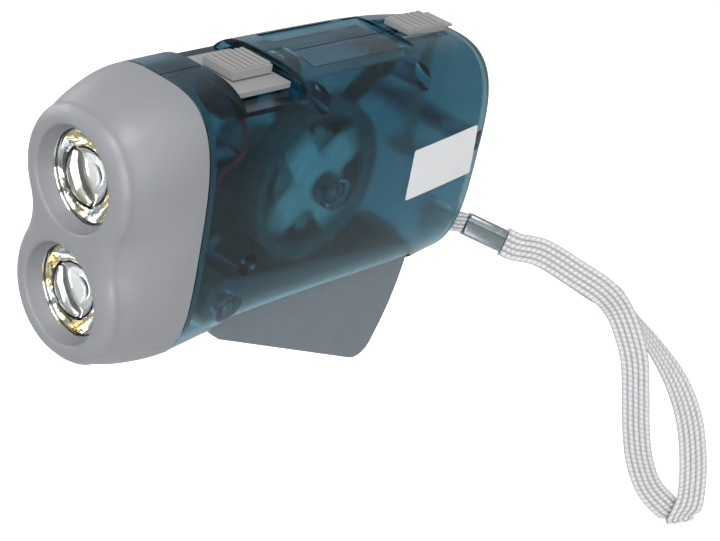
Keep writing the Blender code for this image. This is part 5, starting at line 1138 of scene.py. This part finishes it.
def well_profile():
    """A cutter's profile: a flared mouth, a slight cone, and the room behind it."""
    profile = [(0.0, -OVERRUN), (LIP_REACH, -OVERRUN), (LIP_REACH, -MERGE)]
    for i in range(ROUND_STEPS + 1):
        angle = math.pi / 2 * i / ROUND_STEPS
        radius = MOUTH + LIP_ROUND * (1 - math.sin(angle))
        profile.append((radius, LIP_ROUND * (1 - math.cos(angle))))
    profile += [(APERTURE, WELL_DEPTH), (WELL_ROOM, WELL_DEPTH), (WELL_ROOM, WELL_END), (0.0, WELL_END)]
    return profile


head_mesh = skin("lamp_head", head_rings(), cap_start=True, cap_end=True)
head = add_piece("lamp_head", head_mesh, SILVER.material, "housing")
inner = WALL + GAP + SKIRT_WALL
cavity = [
    head_ring(HOLLOW_DEPTH / HEAD_DEPTH, HEAD_WALL),
    head_ring(HOLLOW_END_SHARE, HEAD_WALL),
    head_ring(SKIRT_START_SHARE, inner),
    head_ring(1.0, inner),
    head_ring(1.0, inner, SEAM_X + SKIRT + OVERRUN),
]
carve(head, skin("cavity", cavity, cap_start=True, cap_end=True))
LAMP_LEVELS = {"upper": LOBE_SPACING / 2, "lower": -LOBE_SPACING / 2}
for level in LAMP_LEVELS.values():
    carve(head, turned("well", well_profile(), (FACE_X, 0, level), (1, 0, 0), WELL_SIDES))
settle(head)
head.data.shade_smooth()
head.data.set_sharp_from_angle(angle=SHARP_ANGLE)
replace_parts(head, "head_shell")
print("head:", len(head.data.polygons), "faces")

# %% [markdown]
# ## Finishes of the lamps
# The dish is plastic with a thin chrome coat, which mirrors the room. Golden patches are painted
# into its colour, as a painted reflection of the diode's yellow chip. The window and the diode are
# clear resin, and their colour comes from what lies behind them. Posts and pins are plated steel,
# and the chip has a yellow phosphor on it.

# %% Finishes of the lamps
CHROME = Finish("chromed_plastic", (0.86, 0.86, 0.84), 0.06, metallic=1.0)
# Painted reflection: golden patches in the chrome stand for the reflected yellow chip
painted_golden_glints = CHROME.ranged(CHROME.noise(160.0, 2.0), 0.0, 1.0, 0.48, 0.62)
CHROME.tint(painted_golden_glints, (0.74, 0.75, 0.75), (0.95, 0.78, 0.42))
CHROME.vary_roughness(CHROME.noise(500.0), 0.04, 0.10)
CHROME.bump(CHROME.noise(420.0, 2.0), 0.35, 0.0004)
WINDOW = Finish("clear_window", (0.96, 0.98, 0.98), 0.03, Transmission_Weight=1.0, IOR=1.45)
WINDOW.vary_roughness(WINDOW.noise(250.0), 0.02, 0.06)
led_shades = (500.0, 1.0, (0.94, 0.94, 0.91), (0.99, 0.99, 0.98))
LED = varied(
    "clear_led_resin",
    (0.97, 0.97, 0.95),
    0.03,
    led_shades,
    (300.0, 0.03, 0.09),
    Transmission_Weight=1.0,
    IOR=1.45,
)
steel_shades = (350.0, 3.0, (0.44, 0.45, 0.46), (0.62, 0.63, 0.64))
STEEL = varied("plated_steel", (0.52, 0.53, 0.54), 0.32, steel_shades, (800.0, 0.22, 0.42), metallic=1.0)
phosphor_shades = (900.0, 2.0, (0.90, 0.62, 0.06), (0.98, 0.80, 0.20))
PHOSPHOR = varied("yellow_phosphor", (0.95, 0.72, 0.12), 0.5, phosphor_shades)
print("materials so far:", len(bpy.data.materials))

# %% [markdown]
# ## Profiles of the lamps
# Window, dish and diode are all turned shapes on one axis, so each is drawn as a profile of
# radius and height. The dish is a paraboloid, which turns the diode's light into a beam. The
# window swells into a low lens in its middle, with a fine groove round it.

# %% Profiles of the lamps
DISH_DEPTH = 0.0074
DISH_STEPS = 18
DISH_WALL = 0.0007
DISH_NECK = 0.0028
FLANGE_RADIUS = 0.0096
FLANGE_THICKNESS = 0.0008
FLANGE_ROOM = 0.0009
LED_RADIUS = 0.0025
LED_COLLAR = 0.0029
LED_BACK = 0.0010
LENS_RADIUS = 0.0056
LENS_HEIGHT = 0.0021
LENS_GROOVE = 0.0004
DOME_FACETS = 12
CUP_PROFILE = [
    (0.0, -0.0008),
    (0.0009, -0.0008),
    (0.0013, 0.0003),
    (0.0011, 0.0003),
    (0.0008, 0.0),
    (0.0, 0.0),
]
CHIP_PROFILE = [(0.0, 0.0003), (0.0007, 0.0002), (0.0010, 0.0001), (0.0, 0.0001)]


def dish_profile():
    """A closed profile of the dish, from its neck at the back to its rim in front."""
    mouth = APERTURE - HALF_GAP
    inner, outer = [], []
    for i in range(DISH_STEPS + 1):
        share = i / DISH_STEPS
        radius = math.sqrt(DISH_NECK**2 + (mouth**2 - DISH_NECK**2) * share)
        inner.append((radius, share * DISH_DEPTH))
        outer.append((radius + DISH_WALL, share * DISH_DEPTH))
    flange = [(FLANGE_RADIUS, DISH_DEPTH), (FLANGE_RADIUS, DISH_DEPTH - FLANGE_THICKNESS)]
    under = []
    for radius, height in reversed(outer):
        if height < DISH_DEPTH - FLANGE_ROOM and radius < FLANGE_RADIUS:
            under.append((radius, height))
    return [inner[-1], *flange, *under, *inner]


def led_profile(straight):
    """The diode's outline, from the middle of its dome to the middle of its back."""
    dome = []
    for i in range(DOME_FACETS + 1):
        angle = math.pi / 2 * i / DOME_FACETS
        dome.append((LED_RADIUS * math.sin(angle), straight + LED_RADIUS * math.cos(angle)))
    return [*dome, (LED_RADIUS, 0.0), (LED_COLLAR, 0.0), (LED_COLLAR, -LED_BACK), (0.0, -LED_BACK)]


def window_profile(thick, radius):
    """The window: a flat disc whose middle swells into a low lens on its front."""
    swell = []
    for i in range(DOME_FACETS + 1):
        share = i / DOME_FACETS
        swell.append((LENS_RADIUS * share, thick + LENS_HEIGHT * (1 - share**2)))
    swell[-1] = (LENS_RADIUS, thick - LENS_GROOVE)
    return [*swell, (LENS_RADIUS + LENS_GROOVE, thick), (radius, thick), (radius, 0.0), (0.0, 0.0)]


print("points of the dish's profile:", len(dish_profile()))

# %% [markdown]
# ## The lamps
# Each lamp is a dish, a diode and a window in a row, placed by the boxes of their solids. Inside
# the diode stand two flat posts, one with a small cup that holds the chip. They are tiny, but
# they show as a glint and a yellow spot in the middle of each lamp.

# %% Lamps
FORWARD = (-1, 0, 0)
LED_CLEARANCE = 0.0004
CUP_SETBACK = 0.0034
POST_IN, POST_OUT, POST_HALF, POST_LENGTH = 0.0006, 0.0013, 0.0003, 0.0028
LED_SIDES, CUP_SIDES = 48, 32


def post_meshes(cup_x, level):
    """The two flat posts inside a diode and the cup in front of them."""
    posts = []
    for side in (-1, 1):
        low_y, high_y = sorted((side * POST_IN, side * POST_OUT))
        low = (cup_x, low_y, level - POST_HALF)
        posts.append(block("post", low, (cup_x + POST_LENGTH, high_y, level + POST_HALF)))
    posts.append(turned("cup", CUP_PROFILE, (cup_x, 0, level), FORWARD, CUP_SIDES))
    return posts


for name, level in LAMP_LEVELS.items():
    back_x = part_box(f"reflector_{name}")[1].x
    mesh = turned(f"dish_{name}", dish_profile(), (back_x, 0, level), FORWARD, WELL_SIDES)
    dish = add_piece(f"dish_{name}", mesh, CHROME.material, "housing")
    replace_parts(dish, f"reflector_{name}")
    low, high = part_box(f"lens_{name}")
    back_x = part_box(f"led_{name}")[1].x - LED_BACK
    profile = led_profile(back_x - high.x - LED_CLEARANCE - LED_RADIUS)
    mesh = turned(f"diode_{name}", profile, (back_x, 0, level), FORWARD, LED_SIDES)
    diode = add_piece(f"diode_{name}", mesh, LED.material, "housing")
    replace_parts(diode, f"led_{name}")
    profile = window_profile(high.x - low.x, high.y)
    mesh = turned(f"window_{name}", profile, (high.x, 0, level), FORWARD, WELL_SIDES)
    window = add_piece(f"window_{name}", mesh, WINDOW.material, "housing")
    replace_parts(window, f"lens_{name}")
    cup_x = high.x + LED_CLEARANCE + CUP_SETBACK
    mesh = joined(f"led_posts_{name}", post_meshes(cup_x, level))
    add_piece(f"led_posts_{name}", mesh, STEEL.material, "housing")
    mesh = turned(f"led_chip_{name}", CHIP_PROFILE, (cup_x, 0, level), FORWARD, CUP_SIDES)
    add_piece(f"led_chip_{name}", mesh, PHOSPHOR.material, "housing")
print("lamps at heights, mm:", [round(level * 1000, 2) for level in LAMP_LEVELS.values()])

# %% [markdown]
# ## Finishes of the small parts
# The rest of the works are moulded gears, pressed plates, pins and screws. Each plastic and each
# metal gets its own finish: two close shades that drift into each other, and a roughness that
# drifts with use. The lever's plastic also has the fine grain of its mould.

# %% Finishes of the small parts
slate_shades = (80.0, 4.0, (0.125, 0.155, 0.175), (0.155, 0.185, 0.205))
SLATE = varied(
    "slate_grey_plastic",
    (0.14, 0.17, 0.19),
    0.45,
    slate_shades,
    (260.0, 0.38, 0.52),
    Coat_Weight=0.1,
    Coat_Roughness=0.35,
)
SLATE.bump(SLATE.noise(3600.0), 0.25, 0.00006)
trim_shades = (120.0, 4.0, (0.27, 0.265, 0.26), (0.33, 0.325, 0.32))
TRIM = varied("matt_grey_plastic", (0.30, 0.295, 0.29), 0.5, trim_shades, (300.0, 0.42, 0.58))
nylon_shades = (150.0, 3.0, (0.66, 0.67, 0.64), (0.78, 0.79, 0.76))
NYLON = varied("white_nylon", (0.72, 0.73, 0.70), 0.4, nylon_shades, (300.0, 0.33, 0.48))
magnet_shades = (700.0, 5.0, (0.02, 0.02, 0.022), (0.05, 0.05, 0.055))
MAGNET = varied("black_magnet", (0.03, 0.03, 0.035), 0.5, magnet_shades)
COPPER = Finish("copper_wire", (0.65, 0.28, 0.12), 0.35, metallic=1.0)
COPPER.tint(COPPER.noise(400.0, 2.0, (0.1, 6.0, 0.1)), (0.50, 0.20, 0.08), (0.75, 0.34, 0.16))
clamp_shades = (500.0, 3.0, (0.24, 0.29, 0.30), (0.38, 0.43, 0.44))
CLAMP_METAL = varied(
    "dull_clamp_metal", (0.30, 0.35, 0.36), 0.34, clamp_shades, (900.0, 0.28, 0.46), metallic=0.9
)
black_shades = (200.0, 3.0, (0.015, 0.015, 0.017), (0.03, 0.03, 0.033))
BLACK = varied("black_plastic", (0.02, 0.02, 0.022), 0.5, black_shades)
board_shades = (500.0, 3.0, (0.02, 0.12, 0.05), (0.05, 0.21, 0.10))
BOARD = varied("board_green", (0.03, 0.16, 0.07), 0.45, board_shades)
red_shades = (300.0, 2.0, (0.50, 0.02, 0.04), (0.70, 0.05, 0.07))
RED = varied("red_sleeve", (0.60, 0.03, 0.05), 0.4, red_shades)
sleeve_shades = (300.0, 2.0, (0.012, 0.012, 0.012), (0.035, 0.035, 0.035))
BLACK_SLEEVE = varied("black_sleeve", (0.02, 0.02, 0.02), 0.4, sleeve_shades)
print("materials so far:", len(bpy.data.materials))

# %% [markdown]
# ## The flywheel's finish
# The flywheel is pale at its hub and dark towards its rim, where the magnets lie behind thin
# plastic. The shade is read from the distance to the hub, and noise makes its edge uneven.
# The distance turns with the wheel, so the shade stays in place while it spins.

# %% The flywheel's finish
HUB_WAVE = 0.0025
PALE_REACH, DARK_REACH = 0.0110, 0.0155
HUB = sum((Vector(corner) for corner in bpy.data.objects["flywheel"].bound_box), Vector()) / 8
WHEEL = Finish("flywheel_plastic", (0.80, 0.86, 0.84), 0.25)
from_hub = WHEEL.nodes.new("ShaderNodeVectorMath")
from_hub.operation = "DISTANCE"
from_hub.inputs[1].default_value = HUB
WHEEL.links.new(WHEEL.place, from_hub.inputs[0])
wavy = WHEEL.nodes.new("ShaderNodeMath")
wavy.operation = "MULTIPLY_ADD"
wavy.inputs[1].default_value = HUB_WAVE
WHEEL.links.new(WHEEL.noise(260.0), wavy.inputs[0])
WHEEL.links.new(from_hub.outputs["Value"], wavy.inputs[2])
outward = WHEEL.ranged(wavy.outputs["Value"], 0.0, 1.0, PALE_REACH, DARK_REACH)
WHEEL.tint(outward, (0.90, 0.95, 0.94), (0.12, 0.15, 0.16))
WHEEL.vary_roughness(WHEEL.noise(300.0), 0.18, 0.34)
print("the flywheel turns dark at, mm:", PALE_REACH * 1000, "to", DARK_REACH * 1000)

# %% [markdown]
# ## Small parts in plastic and metal
# Their solids are already true to the real parts, so they are copied, and their edges softened
# where an edge is wide enough to show. Gear teeth, springs and wires keep the edges they have.

# %% Small parts
# Finish and edge rounding of each dressed solid
DRESSED = {
    "lever": (SLATE, 0.0005),
    "switch_plate": (TRIM, 0.0002),
    "switch_knob": (TRIM, 0.00018),
    "lock_slider": (TRIM, 0.00018),
    "switch_block": (BLACK, 0.0002),
    "led_board": (BOARD, 0.0),
    "lever_pin": (STEEL, 0.0),
    "return_spring": (STEEL, 0.0),
    "drive_gear": (NYLON, 0.0),
    "drive_axle": (STEEL, 0.0001),
    "ratchet_gear": (NYLON, 0.0),
    "pawl_ring": (NYLON, 0.0),
    "flywheel": (WHEEL, 0.00015),
    "magnet_ring": (MAGNET, 0.0001),
    "flywheel_shaft": (STEEL, 0.0001),
    "bush_near": (WINDOW, 0.0001),
    "bush_far": (BLACK, 0.0001),
    "claw_plate_near": (STEEL, 0.0),
    "claw_plate_far": (STEEL, 0.0),
    "coil_bobbin": (NYLON, 0.0),
    "coil_winding": (COPPER, 0.0),
    "generator_frame": (BLACK, 0.0002),
    "battery_holder": (BLACK, 0.0002),
    "battery_cell_1": (STEEL, 0.0),
    "battery_cell_2": (STEEL, 0.0),
    "battery_cell_3": (STEEL, 0.0),
    "circuit_board": (BOARD, 0.0001),
    "red_lead": (RED, 0.0),
    "black_lead": (BLACK_SLEEVE, 0.0),
    "screw_1": (STEEL, 0.00015),
    "screw_2": (STEEL, 0.00015),
    "screw_3": (STEEL, 0.00015),
    "screw_4": (STEEL, 0.00015),
    "strap_pin": (STEEL, 0.0001),
    "ferrule": (CLAMP_METAL, 0.0),
}
for node, (finish, width) in DRESSED.items():
    dress(node, finish.material, width)
print("dressed solids:", len(DRESSED))

# %% [markdown]
# ## The fold in the ferrule
# The ferrule is a strip of sheet metal bent round the strap, and a fine line shows where its ends
# meet. It is a shallow groove, cut along the face that looks outward, a little above the middle.

# %% The fold in the ferrule
FOLD_SHARE = 0.38
FOLD_WIDTH = 0.0004
FOLD_DEPTH = 0.0003
FOLD_OVERRUN = GAP * 4
CLAMP = bpy.data.objects["ferrule_dressed"]


def fold_mesh():
    """A thin bar along the ferrule, half sunk into its outer face."""
    heading = (FERRULE_END - FERRULE_START).normalized()
    across = upright(STRAP_BACK.cross(heading), heading)
    outward = heading.cross(across).normalized()
    if outward.y > 0:
        outward = -outward
    middle = (FERRULE_START + FERRULE_END) / 2
    thick = max((corner.co - middle).dot(outward) for corner in CLAMP.data.vertices)
    width = max((corner.co - middle).dot(across) for corner in CLAMP.data.vertices)
    level = middle + across * width * FOLD_SHARE * (1 if across.z > 0 else -1)
    rings = []
    for end in (FERRULE_START - heading * FOLD_OVERRUN, FERRULE_END + heading * FOLD_OVERRUN):
        place = level + heading * (end - middle).dot(heading)
        ring = []
        for aside, rise in ((-1, -FOLD_DEPTH), (1, -FOLD_DEPTH), (1, FOLD_DEPTH), (-1, FOLD_DEPTH)):
            ring.append(place + across * aside * FOLD_WIDTH / 2 + outward * (thick + rise))
        rings.append(ring)
    return skin("fold", rings, cap_start=True, cap_end=True)


carve(CLAMP, fold_mesh())
settle(CLAMP)
CLAMP.data.set_sharp_from_angle(angle=SHARP_ANGLE)
print("faces of the ferrule:", len(CLAMP.data.polygons))

# %% [markdown]
# ## The insert in the hub
# A dark ring is pressed into the flywheel's hub round the shaft. It stands a hair proud of the
# hub, so that the two faces never lie in one plane and flicker.

# %% The insert in the hub
INSERT_PROUD = 0.0001
INSERT_SIDES = 48
INSERT_PROFILE = [(0.0015, 0.0), (0.0030, 0.0), (0.0030, 0.0006), (0.0015, 0.0006)]
low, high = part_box("flywheel")
insert_place = ((low.x + high.x) / 2, low.y - INSERT_PROUD, (low.z + high.z) / 2)
insert_mesh = turned("hub_insert", INSERT_PROFILE, insert_place, (0, 1, 0), INSERT_SIDES)
add_piece("hub_insert", insert_mesh, MAGNET.material, "rotor")
print("hub at, mm:", [round(value * 1000, 1) for value in insert_place])

# %% [markdown]
# ## The blank sticker
# A blank white sticker lies on the near side by the tail. A flat card would cut into the wall or
# stand off it, so this is a thin sheet whose rows follow the wall's curve. Its four corners, which
# are nearly sharp, were measured on the photograph.

# %% Sticker
paper_shades = (160.0, 4.0, (0.66, 0.67, 0.68), (0.74, 0.75, 0.75))
PAPER = varied("white_paper", (0.74, 0.75, 0.75), 0.45, paper_shades, (400.0, 0.38, 0.55))
STICKER_CORNERS = [
    Vector((0.0193, 0.0093)),
    Vector((0.0410, 0.0109)),
    Vector((0.0422, -0.0011)),
    Vector((0.0197, -0.0026)),
]
STICKER_THICKNESS = 0.00012
STICKER_STEPS = 24
STICKER_CORNER_SHARE = 0.04
STICKER_ASPECT = 0.58
DOME_LIMIT = 0.999


def skin_y(x, z):
    """The near side's Y at one place, on the tail too."""
    past = min(DOME_LIMIT, max(0.0, x - REAR_X + REAR_DOME) / REAR_DOME)
    scale = math.sqrt(1 - past**2) ** DOME_POWER_SHARE
    width, rise, drop = (value * scale for value in smooth_size(min(x, REAR_X - REAR_DOME)))
    share = min(1.0, abs(z - BODY_MID_Z) / (rise if z >= BODY_MID_Z else drop))
    return -width * (1 - share**SQUARENESS_SHARE) ** (1 / SQUARENESS_SHARE)


def sticker_rings():
    """Rows of points on the wall under the sheet. The end rows are shorter, for its corners."""
    top_left, top_right, low_right, low_left = STICKER_CORNERS
    rows = []
    for i in range(STICKER_STEPS + 1):
        share = (1 - math.cos(math.pi * i / STICKER_STEPS)) / 2
        short = max(0.0, STICKER_CORNER_SHARE * STICKER_ASPECT - min(share, 1 - share))
        part = short / (STICKER_CORNER_SHARE * STICKER_ASPECT)
        cut = STICKER_CORNER_SHARE * (1 - math.sqrt(1 - part**2))
        row = []
        for j in range(STICKER_STEPS + 1):
            level = cut + (1 - 2 * cut) * j / STICKER_STEPS
            upper, lower = top_left.lerp(top_right, share), low_left.lerp(low_right, share)
            x, z = lower.lerp(upper, level)
            row.append(Vector((x, skin_y(x, z), z)))
        rows.append(row)
    return rows


sticker_rows = sticker_rings()
lifted = [[point + Vector((0, -STICKER_THICKNESS, 0)) for point in row] for row in sticker_rows]
loops = [front + back[::-1] for front, back in zip(lifted, sticker_rows)]
sticker_mesh = skin("blank_sticker", loops, cap_start=True, cap_end=True)
add_piece("blank_sticker", sticker_mesh, PAPER.material, "housing")
print("sticker, mm:", round((STICKER_CORNERS[1] - STICKER_CORNERS[0]).length * 1000, 1), "long")

# %% [markdown]
# ## The strap's path
# The strap is soft. Its path is a row of points along its middle, one bead apart, and here they
# are counted.

print("points on the cord's path:", len(STRAP_PATH))

# %% [markdown]
# ## The floor
# The torch is shown held in the air, so its strap can hang, and a pale floor lies far below. The
# floor is lifted to clean white for the camera alone: its glow is multiplied by whether a ray
# comes straight from the camera, so it adds no light to the torch.

# %% Floor
FLOOR_Z = -0.30
FLOOR_HALF = 6.0
FLOOR_GLOW = 0.8
floor_shades = (3.0, 2.0, (0.715, 0.715, 0.715), (0.725, 0.725, 0.725))
PALE_FLOOR = varied("pale_floor", (0.72, 0.72, 0.72), 0.9, floor_shades)
lit = PALE_FLOOR.nodes.new("ShaderNodeMath")
lit.operation = "MULTIPLY"
lit.inputs[1].default_value = FLOOR_GLOW
ray = PALE_FLOOR.nodes.new("ShaderNodeLightPath")
PALE_FLOOR.links.new(ray.outputs["Is Camera Ray"], lit.inputs[0])
PALE_FLOOR.links.new(lit.outputs[0], PALE_FLOOR.shader.inputs["Emission Strength"])
floor_mesh = skin("floor", [
    [(-FLOOR_HALF, -FLOOR_HALF, FLOOR_Z), (FLOOR_HALF, -FLOOR_HALF, FLOOR_Z)],
    [(-FLOOR_HALF, FLOOR_HALF, FLOOR_Z), (FLOOR_HALF, FLOOR_HALF, FLOOR_Z)],
], closed=False)
floor = bpy.data.objects.new("floor", floor_mesh)
floor.data.materials.append(PALE_FLOOR.material)
bpy.context.scene.collection.objects.link(floor)
print("floor, m:", FLOOR_Z, "below, half width", FLOOR_HALF)

# %% [markdown]
# ## The lights
# Even light comes from all round, a little cool. Three square lamps stand in it: one above on the
# left, one lower on the same side, and one behind, which lights the edges of the clear plastic.
# A square lamp leaves soft shadows, and each is aimed at the torch.

# %% Lights
AIR_COLOUR = (0.95, 0.97, 1.0, 1.0)
AIR_STRENGTH = 0.55
# Name, place, size and power of each lamp
LAMPS = [
    ("key_light", (-0.45, -0.15, 0.75), 0.5, 4.2),
    ("fill_light", (-0.50, -0.62, 0.22), 0.5, 3.6),
    ("back_light", (-0.10, 0.85, 0.25), 0.6, 2.5),
]
world = bpy.data.worlds.new("studio")
bpy.context.scene.world = world
world.use_nodes = True
air = world.node_tree.nodes["Background"]
air.inputs["Color"].default_value = AIR_COLOUR
air.inputs["Strength"].default_value = AIR_STRENGTH
bpy.context.scene.view_settings.view_transform = "Standard"


def soft_light(name, place, size, power):
    """A square area light that faces the torch."""
    lamp = bpy.data.lights.new(name, "AREA")
    lamp.size = size
    lamp.energy = power
    holder = bpy.data.objects.new(name, lamp)
    holder.location = place
    holder.rotation_euler = (-Vector(place)).to_track_quat("-Z", "Y").to_euler()
    bpy.context.scene.collection.objects.link(holder)


for lamp_name, place, size, power in LAMPS:
    soft_light(lamp_name, place, size, power)
print("lights:", len(bpy.data.lights))
